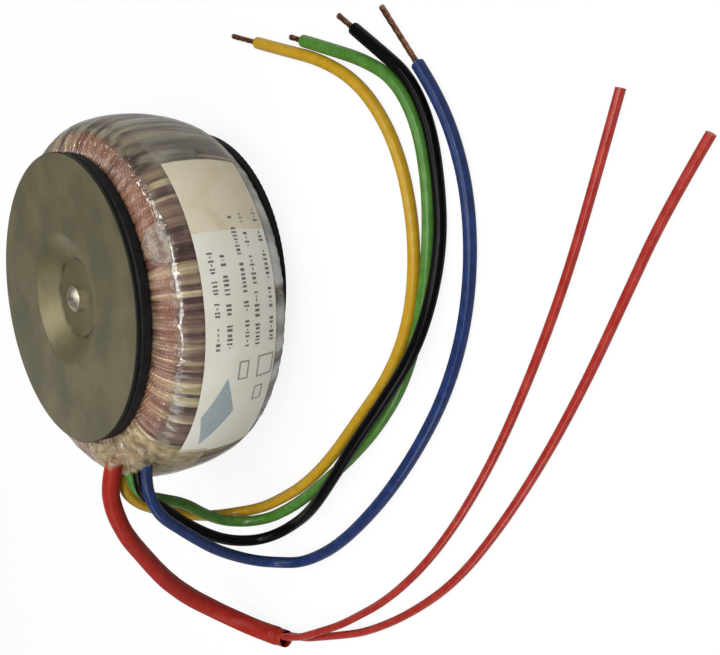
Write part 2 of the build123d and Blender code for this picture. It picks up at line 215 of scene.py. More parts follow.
def smooth_step(value: np.ndarray, start: float, end: float) -> np.ndarray:
    """Rise from 0 to 1 between two values, as 3 t^2 - 2 t^3.

    Args:
        value: What is measured.
        start: Where the rise starts.
        end: Where it ends.

    Returns:
        The height of the rise at each value.
    """
    t = np.clip((value - start) / (end - start), 0, 1)
    return t * t * (3 - 2 * t)


def plateau(
    value: np.ndarray, start: float, full: float, fade: float, end: float
) -> np.ndarray:
    """Rise smoothly from 0 to 1, stay there, and fall back to 0.

    Args:
        value: What is measured.
        start: Where the rise starts.
        full: Where it reaches 1.
        fade: Where the fall starts.
        end: Where it ends.

    Returns:
        The height at each value, rise times (1 - fall).
    """
    return smooth_step(value, start, full) * (1 - smooth_step(value, fade, end))


def dress(thing: bpy.types.Object, material: bpy.types.Material) -> bpy.types.Object:
    """Give a new piece its material and its body.

    Args:
        thing: The piece.
        material: Its finish.

    Returns:
        The same piece.
    """
    thing.data.materials.clear()
    thing.data.materials.append(material)
    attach(thing, "root")
    LOG.info("%s made", thing.name)
    return thing


# ---- finishes ---------------------------------------------------------------------------
@dataclass(frozen=True)
class Finish:
    """A finish of one real material; each kind adds its own pattern."""

    name: str

    def build(self) -> bpy.types.Material:
        """Build the material.

        Returns:
            A new material with this finish's name.
        """
        material = bpy.data.materials.new(self.name)
        material.use_nodes = True
        tree = material.node_tree
        tree.nodes.clear()
        shader = self.shader(tree)
        add(tree, "OutputMaterial", {"Surface": shader.outputs[0]})
        return material

    def shader(self, tree: bpy.types.NodeTree) -> bpy.types.Node:
        """Build the surface shader; each kind of finish has its own.

        Args:
            tree: The material's nodes.

        Returns:
            The surface shader.
        """
        raise NotImplementedError


@dataclass(frozen=True)
class EnamelledCopper(Finish):
    """Copper wire in brown-red enamel: a glossy coat over metal that differs from turn to turn."""

    turn_tones: tuple[tuple[float, str], ...]
    crossing_tone: str = "#b06c50"
    painted_glint_tone: str = "#dfb08c"
    crossings: float = 104.0
    lay: float = 1.3 * MM
    sheen_roughness: float = 0.32

    def crossed(
        self, tree: bpy.types.NodeTree, place: bpy.types.NodeSocket, share: bpy.types.NodeSocket
    ) -> bpy.types.NodeSocket:
        """The lay of wires that cross on a shoulder, like a rope's: sin(n a + k s).

        a is the angle round the axis, n the number of crossings round it, s = z - r runs over
        a shoulder, and k repeats the pattern once a lay.

        Args:
            tree: The material's nodes.
            place: Position on the winding.
            share: How much of the lay shows; it fades out on the wall.

        Returns:
            The height of the lay.
        """
        parts = add(tree, "SeparateXYZ", {0: place})
        x, y, z = (parts.outputs[axis] for axis in "XYZ")
        angle = add(tree, "Math", {0: y, 1: x}, operation="ARCTAN2")
        flat = add(tree, "CombineXYZ", {"X": x, "Y": y})
        reach = add(tree, "VectorMath", {0: flat.outputs[0]}, operation="LENGTH")
        run = add(tree, "Math", {0: z, 1: reach.outputs["Value"]}, operation="SUBTRACT")
        turn = add(tree, "Math", {0: angle.outputs[0], 1: self.crossings}, operation="MULTIPLY")
        phase = add(tree, "Math", {
            0: run.outputs[0], 1: 2 * math.pi / self.lay, 2: turn.outputs[0],
        }, operation="MULTIPLY_ADD")
        wave = add(tree, "Math", {0: phase.outputs[0]}, operation="SINE")
        return add(tree, "Math", {0: wave.outputs[0], 1: share}, operation="MULTIPLY").outputs[0]

    def shader(self, tree: bpy.types.NodeTree) -> bpy.types.Node:
        """Colour comes from each strand's tone, mottled where the wire was nicked and stretched,
        with painted highlights: pale glints along the crests of the crossing lay.

        The mottling is 4 mm across. Drawing marks are finer than 0.1 mm on real wire, and are
        drawn 0.3 mm across so that they show in the gloss.

        Args:
            tree: The material's nodes.

        Returns:
            The surface shader.
        """
        tone = add(tree, "Attribute", attribute_name="strand_tone")
        place = add(tree, "TexCoord").outputs["Object"]
        mottle = add(tree, "TexNoise", {"Vector": place, "Scale": grain(4.0), "Detail": 3.0})
        shade = add(tree, "Math", {
            0: mottle.outputs["Fac"], 1: 0.3, 2: -0.15,
        }, operation="MULTIPLY_ADD")
        mixed = add(tree, "Math", {
            0: tone.outputs["Fac"], 1: shade.outputs[0],
        }, operation="ADD", use_clamp=True)
        toned = add(tree, "ValToRGB", {"Fac": mixed.outputs[0]}, stops=self.turn_tones)
        crossing = add(tree, "Attribute", attribute_name="crossing")
        colour = add(tree, "Mix", {
            "Factor": crossing.outputs["Fac"],
            6: toned.outputs["Color"],
            7: linear(self.crossing_tone),
        }, data_type="RGBA")
        lay = self.crossed(tree, place, crossing.outputs["Fac"])
        # painted highlight: the crests of the crossing lay mix the base colour towards a pale glint
        # colour
        glint = add(tree, "MapRange", {
            "Value": lay, "From Min": 0.15, "From Max": 0.8, "To Max": 0.4,
        })
        lit = add(tree, "Mix", {
            "Factor": glint.outputs["Result"], 6: colour.outputs[2], 7: linear(self.painted_glint_tone),
        }, data_type="RGBA")
        marks = add(tree, "TexNoise", {"Vector": place, "Scale": grain(1 / 3)})
        drawn = add(tree, "Bump", {
            "Height": marks.outputs["Fac"], "Strength": 0.15, "Distance": 0.1 * MM,
        })
        bump = add(tree, "Bump", {
            "Height": lay, "Strength": 1.0, "Distance": 0.25 * MM,
            "Normal": drawn.outputs["Normal"],
        })
        return add(tree, "BsdfPrincipled", {
            "Base Color": lit.outputs[2],
            "Metallic": 0.3,
            "Roughness": self.sheen_roughness,
            "Coat Weight": 1.0,
            "Coat Roughness": 0.07,
            "Normal": bump.outputs["Normal"],
        })


@dataclass(frozen=True)
class ClearFilm(Finish):
    """Polyester film, clear and glossy: it veils what lies under it, most where seen edge on.

    Cover is how opaque the film is, from face on to edge on. Wrinkles have a size in mm and
    can be drawn out along an axis. Where the film is bunched, its layers cover more and go
    pale; the pale tint is partly a painted reflection.
    """

    tint: str
    haze_tint: str
    face_cover: float
    edge_cover: float
    roughness: float
    wrinkle: float
    wrinkle_mm: float
    drawn: tuple[float, float, float] = (1.0, 1.0, 1.0)
    bunched: float = 0.0
    bunched_reflection_tint: str = "#c3c5c4"

    def shader(self, tree: bpy.types.NodeTree) -> bpy.types.Node:
        """Cover grows from face_cover to edge_cover with the slant; wrinkles bend the gloss.

        Args:
            tree: The material's nodes.

        Returns:
            The surface shader.
        """
        place = add(tree, "TexCoord").outputs["Object"]
        pulled = add(tree, "Mapping", {"Vector": place, "Scale": self.drawn}).outputs["Vector"]
        scale = grain(self.wrinkle_mm)
        wrinkles = add(tree, "TexNoise", {
            "Vector": pulled, "Scale": scale, "Detail": 3.0, "Roughness": 0.55, "Distortion": 0.4,
        })
        haze = add(tree, "TexNoise", {"Vector": pulled, "Scale": 0.6 * scale, "Detail": 2.0})
        colour = add(tree, "ValToRGB", {"Fac": haze.outputs["Fac"]},
                     stops=((0.38, self.tint), (0.62, self.haze_tint))).outputs["Color"]
        bump = add(tree, "Bump", {
            "Height": wrinkles.outputs["Fac"], "Strength": self.wrinkle, "Distance": 0.5 * MM,
        })
        slant = add(tree, "LayerWeight", {"Blend": 0.35, "Normal": bump.outputs["Normal"]})
        cover = add(tree, "MapRange", {
            "Value": slant.outputs["Facing"], "To Min": self.face_cover, "To Max": self.edge_cover,
        }).outputs[0]
        if self.bunched:
            # painted reflection, in part: bunched film is mixed towards a pale tint
            pale = add(tree, "Attribute", attribute_name="pale")
            colour = add(tree, "Mix", {
                "Factor": pale.outputs["Fac"], 6: colour, 7: linear(self.bunched_reflection_tint),
            }, data_type="RGBA").outputs[2]
            layers = add(tree, "Attribute", attribute_name="layers")
            deep = add(tree, "Math", {
                0: layers.outputs["Fac"], 1: self.bunched,
            }, operation="MULTIPLY")
            cover = add(tree, "Math", {
                0: cover, 1: deep.outputs[0],
            }, operation="ADD", use_clamp=True).outputs[0]
        return add(tree, "BsdfPrincipled", {
            "Base Color": colour,
            "Roughness": self.roughness,
            "IOR": 1.64,
            "Specular IOR Level": 1.0,
            "Alpha": cover,
            "Normal": bump.outputs["Normal"],
        })


@dataclass(frozen=True)
class PassivatedSteel(Finish):
    """Pressed mild steel, zinc plated and passivated: dull olive grey, rolling marks and stains."""

    base: str
    stain: str
    green: str = "#666a52"
    painted_rim_shade: str = "#2b2a24"
    ring_tone: str = "#473c2c"
    dish_floor: float = 12.3 * MM
    middle: Point = (1.8 * MM, 0.0, 0.0)
    radius: float = 44.5 * MM

    def dark_corner_ring(
        self, tree: bpy.types.NodeTree, place: bpy.types.NodeSocket, reach: bpy.types.NodeSocket
    ) -> bpy.types.NodeSocket:
        """A patchy darker ring 1.8 mm wide along the corner of the dish's floor.

        Args:
            tree: The material's nodes.
            place: Position on the disc.
            reach: Distance from the dish's middle.

        Returns:
            How far the colour goes towards the ring's dark tone, from 0 to 0.8.
        """
        off = add(tree, "Math", {0: reach, 1: self.dish_floor}, operation="SUBTRACT")
        near = add(tree, "Math", {0: off.outputs[0]}, operation="ABSOLUTE")
        ring = add(tree, "MapRange", {
            "Value": near.outputs[0],
            "From Min": 0.25 * MM, "From Max": 0.9 * MM, "To Min": 1.0, "To Max": 0.0,
        })
        patches = add(tree, "TexNoise", {"Vector": place, "Scale": grain(3.85), "Detail": 4.0})
        patchy = add(tree, "MapRange", {
            "Value": patches.outputs["Fac"],
            "From Min": 0.35, "From Max": 0.65, "To Min": 0.1, "To Max": 0.8,
        })
        return add(tree, "Math", {
            0: ring.outputs["Result"], 1: patchy.outputs["Result"],
        }, operation="MULTIPLY").outputs[0]

    def shader(self, tree: bpy.types.NodeTree) -> bpy.types.Node:
        """Rolling marks run along X, stains are some 14 mm across and the rim is darkened as painted
        shade.

        Real rolling marks are about 0.05 mm apart; here they are 0.4 mm, so that they show.

        Args:
            tree: The material's nodes.

        Returns:
            The surface shader.
        """
        place = add(tree, "TexCoord").outputs["Object"]
        along = add(tree, "Mapping", {"Vector": place, "Scale": (0.02, 1.0, 1.0)})
        rolling = add(tree, "TexNoise", {
            "Vector": along.outputs["Vector"], "Scale": grain(1 / 2.6), "Detail": 3.0,
        })
        stains = add(tree, "TexNoise", {"Vector": place, "Scale": grain(14.3), "Detail": 5.0})
        colour = add(tree, "ValToRGB", {"Fac": stains.outputs["Fac"]},
                     stops=((0.32, self.green), (0.45, self.stain), (0.65, self.base)))
        centred = add(tree, "VectorMath", {0: place, 1: self.middle}, operation="SUBTRACT")
        flat = add(tree, "VectorMath", {
            0: centred.outputs["Vector"], 1: (1.0, 1.0, 0.0),
        }, operation="MULTIPLY")
        reach = add(tree, "VectorMath", {0: flat.outputs["Vector"]}, operation="LENGTH")
        # the colour darkens in a patchy ring along the corner of the dish's floor
        ringed = add(tree, "Mix", {
            "Factor": self.dark_corner_ring(tree, place, reach.outputs["Value"]),
            6: colour.outputs["Color"],
            7: linear(self.ring_tone),
        }, data_type="RGBA")
        # painted shade: the disc's outer 0.4 mm fades to a dark tone, as if its edge lay in shadow
        rim = add(tree, "MapRange", {
            "Value": reach.outputs["Value"],
            "From Min": self.radius - 0.4 * MM, "From Max": self.radius - 0.2 * MM,
        })
        toned = add(tree, "Mix", {
            "Factor": rim.outputs["Result"], 6: ringed.outputs[2], 7: linear(self.painted_rim_shade),
        }, data_type="RGBA")
        rough = add(tree, "MapRange", {
            "Value": rolling.outputs["Fac"], "To Min": 0.42, "To Max": 0.58,
        })
        bump = add(tree, "Bump", {
            "Height": rolling.outputs["Fac"], "Strength": 0.12, "Distance": 0.1 * MM,
        })
        return add(tree, "BsdfPrincipled", {
            "Base Color": toned.outputs[2],
            "Metallic": 0.75,
            "Roughness": rough.outputs["Result"],
            "Normal": bump.outputs["Normal"],
        })


@dataclass(frozen=True)
class Neoprene(Finish):
    """Die-cut sponge neoprene: near black, matt, with a fine closed-cell grain and some dust."""

    def shader(self, tree: bpy.types.NodeTree) -> bpy.types.Node:
        """Grain is 0.4 mm across; dust lightens patches of a few millimetres.

        Args:
            tree: The material's nodes.

        Returns:
            The surface shader.
        """
        place = add(tree, "TexCoord").outputs["Object"]
        cells = add(tree, "TexVoronoi", {"Vector": place, "Scale": grain(0.4)})
        dust = add(tree, "TexNoise", {"Vector": place, "Scale": grain(3.33), "Detail": 4.0})
        colour = add(tree, "ValToRGB", {"Fac": dust.outputs["Fac"]},
                     stops=((0.4, "#0a0a0b"), (0.7, "#151515")))
        bump = add(tree, "Bump", {
            "Height": cells.outputs["Distance"], "Strength": 0.35, "Distance": 0.1 * MM,
        })
        return add(tree, "BsdfPrincipled", {
            "Base Color": colour.outputs["Color"],
            "Roughness": 0.6,
            "Specular IOR Level": 0.22,
            "Normal": bump.outputs["Normal"],
        })


@dataclass(frozen=True)
class BrightZinc(Finish):
    """Bright zinc plate on steel fasteners: pale, mirror-like but for faint handling marks."""

    def shader(self, tree: bpy.types.NodeTree) -> bpy.types.Node:
        """Handling marks are 0.5 mm across and only change tone and gloss.

        Args:
            tree: The material's nodes.

        Returns:
            The surface shader.
        """
        place = add(tree, "TexCoord").outputs["Object"]
        marks = add(tree, "TexNoise", {"Vector": place, "Scale": grain(0.5), "Detail": 3.0})
        colour = add(tree, "ValToRGB", {"Fac": marks.outputs["Fac"]},
                     stops=((0.3, "#a8a18e"), (0.7, "#d6d0bd")))
        rough = add(tree, "MapRange", {
            "Value": marks.outputs["Fac"], "To Min": 0.34, "To Max": 0.52,
        })
        return add(tree, "BsdfPrincipled", {
            "Base Color": colour.outputs["Color"],
            "Metallic": 1.0,
            "Roughness": rough.outputs["Result"],
        })


@dataclass(frozen=True)
class Pvc(Finish):
    """Extruded PVC: satin, with a fine skin and a slightly uneven colour."""

    base: str
    worn: str
    roughness: float = 0.24
    shine: float = 0.3

    def shader(self, tree: bpy.types.NodeTree) -> bpy.types.Node:
        """Unevenness is 3 mm across; the skin's texture is 0.25 mm.

        Args:
            tree: The material's nodes.

        Returns:
            The surface shader.
        """
        place = add(tree, "TexCoord").outputs["Object"]
        uneven = add(tree, "TexNoise", {"Vector": place, "Scale": grain(3.03), "Detail": 4.0})
        skin = add(tree, "TexNoise", {"Vector": place, "Scale": grain(0.25)})
        colour = add(tree, "ValToRGB", {"Fac": uneven.outputs["Fac"]},
                     stops=((0.4, self.base), (0.75, self.worn)))
        bump = add(tree, "Bump", {
            "Height": skin.outputs["Fac"], "Strength": 0.08, "Distance": 0.1 * MM,
        })
        return add(tree, "BsdfPrincipled", {
            "Base Color": colour.outputs["Color"],
            "Roughness": self.roughness,
            "IOR": 1.53,
            "Specular IOR Level": self.shine,
            "Normal": bump.outputs["Normal"],
        })


@dataclass(frozen=True)
class BareStrands(Finish):
    """Stranded copper, stripped and dulled in air."""

    def shader(self, tree: bpy.types.NodeTree) -> bpy.types.Node:
        """Tarnish patches are 1 mm across.

        Args:
            tree: The material's nodes.

        Returns:
            The surface shader.
        """
        place = add(tree, "TexCoord").outputs["Object"]
        tarnish = add(tree, "TexNoise", {"Vector": place, "Scale": grain(1.0), "Detail": 4.0})
        colour = add(tree, "ValToRGB", {"Fac": tarnish.outputs["Fac"]},
                     stops=((0.3, "#4a3024"), (0.55, "#7d5640"), (0.8, "#b98b69")))
        return add(tree, "BsdfPrincipled", {
            "Base Color": colour.outputs["Color"],
            "Metallic": 0.9,
            "Roughness": 0.38,
        })


@dataclass(frozen=True)
class LabelPaper(Finish):
    """Coated label stock, off white, a little yellowed and softly creased across its height.

    From film_edge on, an angle round the axis, a strip of older film yellows it further.
    """

    paper: str = "#d7d5cc"
    aged: str = "#cfccc0"
    under_film: str = "#d9cfb9"
    stained: str = "#d2c5a8"
    film_edge: float = math.radians(-74.3)
    blur: float = 0.004

    def under_strip(
        self, tree: bpy.types.NodeTree, place: bpy.types.NodeSocket, colour: bpy.types.NodeSocket
    ) -> bpy.types.NodeSocket:
        """Swap the paper's colour for the stained one under the strip; stains are 11 mm across.

        Args:
            tree: The material's nodes.
            place: Position on the label.
            colour: The bare paper's colour.

        Returns:
            The colour of the whole label.
        """
        parts = add(tree, "SeparateXYZ", {0: place})
        angle = add(tree, "Math", {
            0: parts.outputs["Y"], 1: parts.outputs["X"],
        }, operation="ARCTAN2")
        covered = add(tree, "MapRange", {
            "Value": angle.outputs[0],
            "From Min": self.film_edge - self.blur, "From Max": self.film_edge + self.blur,
        })
        stains = add(tree, "TexNoise", {
            "Vector": place, "Scale": grain(11.1), "Detail": 3.0, "Distortion": 1.5,
        })
        filmed = add(tree, "ValToRGB", {"Fac": stains.outputs["Fac"]},
                     stops=((0.38, self.stained), (0.55, self.under_film)))
        return add(tree, "Mix", {
            "Factor": covered.outputs["Result"], 6: colour, 7: filmed.outputs["Color"],
        }, data_type="RGBA").outputs[2]

    def shader(self, tree: bpy.types.NodeTree) -> bpy.types.Node:
        """Ageing is in patches 20 mm across, fibres are 0.5 mm long, upright creases 8 mm apart.

        Args:
            tree: The material's nodes.

        Returns:
            The surface shader.
        """
        place = add(tree, "TexCoord").outputs["Object"]
        ageing = add(tree, "TexNoise", {"Vector": place, "Scale": grain(20.0), "Detail": 4.0})
        fibres = add(tree, "TexNoise", {"Vector": place, "Scale": grain(0.5), "Detail": 3.0})
        upright = add(tree, "Mapping", {"Vector": place, "Scale": (1.0, 1.0, 0.12)})
        creases = add(tree, "TexNoise", {
            "Vector": upright.outputs["Vector"], "Scale": grain(8.0), "Detail": 2.0,
        })
        colour = add(tree, "ValToRGB", {"Fac": ageing.outputs["Fac"]},
                     stops=((0.35, self.aged), (0.6, self.paper)))
        soft = add(tree, "Bump", {
            "Height": creases.outputs["Fac"], "Strength": 0.5, "Distance": 1.0 * MM,
        })
        bump = add(tree, "Bump", {
            "Height": fibres.outputs["Fac"], "Strength": 0.1, "Distance": 0.1 * MM,
            "Normal": soft.outputs["Normal"],
        })
        return add(tree, "BsdfPrincipled", {
            "Base Color": self.under_strip(tree, place, colour.outputs["Color"]),
            "Roughness": 0.42,
            "Coat Weight": 0.3,
            "Coat Roughness": 0.2,
            "Normal": bump.outputs["Normal"],
        })


@dataclass(frozen=True)
class LabelInk(Finish):
    """Printing ink on the label, a little broken up by the stock."""

    base: str
    thin: str

    def shader(self, tree: bpy.types.NodeTree) -> bpy.types.Node:
        """Thin spots are 0.6 mm across.

        Args:
            tree: The material's nodes.

        Returns:
            The surface shader.
        """
        place = add(tree, "TexCoord").outputs["Object"]
        spots = add(tree, "TexNoise", {"Vector": place, "Scale": grain(0.625), "Detail": 3.0})
        colour = add(tree, "ValToRGB", {"Fac": spots.outputs["Fac"]},
                     stops=((0.45, self.base), (0.75, self.thin)))
        return add(tree, "BsdfPrincipled", {
            "Base Color": colour.outputs["Color"], "Roughness": 0.5,
        })


@dataclass(frozen=True)
class WrapTape(Finish):
    """Creped polyester tape laid round the core and between the windings."""

    def shader(self, tree: bpy.types.NodeTree) -> bpy.types.Node:
        """Crepe lines are 1 mm apart.

        Args:
            tree: The material's nodes.

        Returns:
            The surface shader.
        """
        place = add(tree, "TexCoord").outputs["Object"]
        crepe = add(tree, "TexNoise", {"Vector": place, "Scale": grain(1.0), "Detail": 2.0})
        colour = add(tree, "ValToRGB", {"Fac": crepe.outputs["Fac"]},
                     stops=((0.3, "#cfc6a8"), (0.7, "#e4ddc6")))
        bump = add(tree, "Bump", {
            "Height": crepe.outputs["Fac"], "Strength": 0.3, "Distance": 0.2 * MM,
        })
        return add(tree, "BsdfPrincipled", {
            "Base Color": colour.outputs["Color"],
            "Roughness": 0.5,
            "Normal": bump.outputs["Normal"],
        })


@dataclass(frozen=True)
class WoundStrip(Finish):
    """Grain-oriented silicon steel strip wound on edge, which shows as fine rings."""

    def shader(self, tree: bpy.types.NodeTree) -> bpy.types.Node:
        """The rings are a wave in the distance from the toroid's axis.

        A wave texture has 20 / 2 pi crests a cell, so cells of 3 mm give crests 0.9 mm apart,
        coarser than the 0.3 mm strip so that they show.

        Args:
            tree: The material's nodes.

        Returns:
            The surface shader.
        """
        place = add(tree, "TexCoord").outputs["Object"]
        flat = add(tree, "VectorMath", {0: place, 1: (1.0, 1.0, 0.0)}, operation="MULTIPLY")
        rings = add(tree, "TexWave", {"Vector": flat.outputs["Vector"], "Scale": grain(3.0)},
                    wave_type="RINGS", rings_direction="SPHERICAL")
        colour = add(tree, "ValToRGB", {"Fac": rings.outputs["Fac"]},
                     stops=((0.2, "#5c5e60"), (0.8, "#8d9092")))
        return add(tree, "BsdfPrincipled", {
            "Base Color": colour.outputs["Color"],
            "Metallic": 0.9,
            "Roughness": 0.45,
        })


# ---- the toroid ---------------------------------------------------------------------------
@dataclass
class ToroidSection:
    """The toroid's half section: a barrel wall, round shoulders, flat ends and a round bore edge.

    The pads hide the ends out to the covered radius.
    """

    radius: float = 58 * MM
    height: float = 43.6 * MM
    bore: float = 20 * MM
    barrel: float = 47 * MM
    shoulder: float = 13 * MM
    lip: float = 7 * MM
    middle: float = 26 * MM
    covered: float = 40 * MM
    arc_steps: int = 60

    def shoulder_place(self) -> tuple[float, float]:
        """Find the shoulder's centre, from which its arc meets the wall's without a kink.

        Returns:
            Its radius and its height from mid height.
        """
        rise = self.height / 2 - self.shoulder
        run = math.sqrt((self.barrel - self.shoulder) ** 2 - rise**2)
        return self.radius - self.barrel + run, rise

    def corners(self, depth: float) -> np.ndarray:
        """Trace the section, anticlockwise from the middle of the wall, finely enough to resample.

        Arcs are centre + radius (cos a, sin a); the straight stretches join them.

        Args:
            depth: How far the section lies inside the finished surface.

        Returns:
            Points of radius and height from mid height.
        """
        x, y = self.shoulder_place()
        meet = math.atan2(y, x - (self.radius - self.barrel))
        wall = self.radius - self.barrel
        edge = self.bore + self.lip
        top = self.height / 2 - self.lip
        arcs = [
            (wall, 0.0, self.barrel - depth, 0.0, meet),
            (x, y, self.shoulder - depth, meet, math.pi / 2),
            (edge, top, self.lip - depth, math.pi / 2, math.pi),
            (edge, -top, self.lip - depth, math.pi, 1.5 * math.pi),
            (x, -y, self.shoulder - depth, 1.5 * math.pi, 2 * math.pi - meet),
            (wall, 0.0, self.barrel - depth, -meet, 0.0),
        ]
        pieces = []
        for cx, cy, reach, first, last in arcs:
            angle = np.linspace(first, last, self.arc_steps)
            pieces.append(np.stack([cx + reach * np.cos(angle), cy + reach * np.sin(angle)], 1))
        return np.concatenate(pieces)

    def loop(
        self, depth: float, count: int, bore_share: float
    ) -> tuple[np.ndarray, np.ndarray, np.ndarray]:
        """Resample the section into a closed loop of points.

        Spacing is even along the outline, but the bore counts for only bore_share of its length.

        Args:
            depth: How far the loop lies inside the finished surface.
            count: How many points it has.
            bore_share: The weight of the stretch that the pads hide.

        Returns:
            The points, their outward normals and the distance along the outline from mid wall.
        """
        line = self.corners(depth)
        step = np.linalg.norm(np.diff(line, axis=0, append=line[:1]), axis=1)
        run = np.concatenate([[0.0], np.cumsum(step)])
        weight = np.where(line[:, 0] < self.covered, bore_share, 1.0)
        pull = np.concatenate([[0.0], np.cumsum(step * weight)])
        closed = np.concatenate([line, line[:1]])
        wanted = np.linspace(0, pull[-1], count, endpoint=False)
        along = np.interp(wanted, pull, run)
        points = np.stack([np.interp(along, run, closed[:, axis]) for axis in (0, 1)], 1)
        tangent = np.roll(points, -1, 0) - np.roll(points, 1, 0)
        tangent /= np.linalg.norm(tangent, axis=1, keepdims=True)
        normals = np.stack([tangent[:, 1], -tangent[:, 0]], 1)
        return points, normals, along

    def place(
        self, points: np.ndarray, normals: np.ndarray, angle: np.ndarray, rise: np.ndarray
    ) -> np.ndarray:
        """Carry the section's points round the axis, raised along their normals.

        A point is (r cos a, r sin a, middle + y), with (r, y) = section point + rise * normal.

        Args:
            points: The section's points, one a column of the grid.
            normals: Their outward normals.
            angle: Angle round the axis at each place of the grid.
            rise: Height above the section at each place of the grid.

        Returns:
            The grid's points, one row of x, y, z each.
        """
        reach = points[None, :, 0] + rise * normals[None, :, 0]
        level = points[None, :, 1] + rise * normals[None, :, 1] + self.middle
        return np.stack([reach * np.cos(angle), reach * np.sin(angle), level], -1).reshape(-1, 3)


@dataclass
class SecondaryWinding:
    """The secondary's outer turns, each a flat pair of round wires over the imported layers.

    valley and sway are shares of the gap between turns, uneven is how far a turn's seat rises
    or falls, and shoulder_lay gives the heights between which crossing wires begin to show.
    """

    section: ToroidSection
    turns: int = 104
    wire: float = 1.15 * MM
    depth: float = 0.38 * MM
    uneven: float = 0.07 * MM
    valley: float = 0.3
    sway: float = 0.16
    shoulder_lay: tuple[float, float] = (16.8 * MM, 18.4 * MM)
    contrast: float = 1.7
    most_crossed: float = 0.85
    tones: tuple[tuple[float, str], ...] = (
        (0.0, "#3d2526"), (0.25, "#654645"), (0.45, "#86695c"),
        (0.6, "#9c8570"), (0.8, "#b09d7b"), (1.0, "#d2c49c"),
    )
    samples: int = 12
    along: int = 72

    def build(self) -> bpy.types.Object:
        """Model the turns as one closed surface round the toroid.

        Across a turn the height is sqrt(w^2 - (x -+ w)^2) over each wire of radius w, and the
        gap between turns falls by a share of its width. Each turn sways a little on its way
        round, as a sin(u) + b cos(2 u) + 0.6 c sin(3 u) with a, b and c drawn for each turn, and
        sits a little higher or lower than the next.

        Returns:
            The winding.
        """
        points, normals, along = self.section.loop(self.depth, self.along, bore_share=0.35)
        half = self.wire / 2
        turn = np.repeat(np.arange(self.turns), self.samples)
        share = np.tile((np.arange(self.samples) + 0.5) / self.samples - 0.5, self.turns)
        pitch = 2 * np.pi * points[None, :, 0] / self.turns
        draw = np.random.default_rng(4)
        tilt = draw.normal(0, 1, (self.turns, 3))[turn]
        swing = 2 * np.pi * along / (along.max() * 1.01)
        bow = tilt[:, :1] * np.sin(swing)
        bow = bow + tilt[:, 1:2] * np.cos(2 * swing) + 0.6 * tilt[:, 2:] * np.sin(3 * swing)
        room = np.clip(pitch - 2 * self.wire, 0.0, None)
        across = share[:, None] * pitch
        wire_place = np.abs(np.abs(across) - half)
        inside = np.clip(half**2 - wire_place**2, 0, None)
        seat = self.uneven * np.sin(1.7 * turn)[:, None]
        rise = np.sqrt(inside) - half + seat - self.valley * room * (inside <= 0)
        angle = 2 * np.pi * turn[:, None] / self.turns
        angle = angle + (across + self.sway * room * bow) / points[None, :, 0]
        thing = make_object(
            "outer_turns",
            self.section.place(points, normals, angle, rise),
            grid_faces(self.turns * self.samples, self.along, True, True)[:, ::-1],
        )
        strand = turn * 2 + (share > 0)
        tone = draw.random(self.turns * 2)[strand] * 0.5 + draw.random(self.turns)[turn] * 0.5
        tone = np.clip((tone - 0.5) * self.contrast + 0.5, 0, 1)
        set_attribute(thing, "strand_tone", np.repeat(tone, self.along))
        level = np.abs(points[:, 1])
        patch = 0.6 + 0.5 * ripple(turn[:, None] * 0.35, along[None, :] * 100, 19, 8, 2.0)
        over = smooth_step(level, *self.shoulder_lay)[None, :]
        set_attribute(thing, "crossing", over * np.clip(patch, 0, 1) * self.most_crossed)
        copper = EnamelledCopper("enamelled_copper_wire", self.tones)
        dress(thing, copper.build())
        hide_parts("secondary_winding")
        return thing


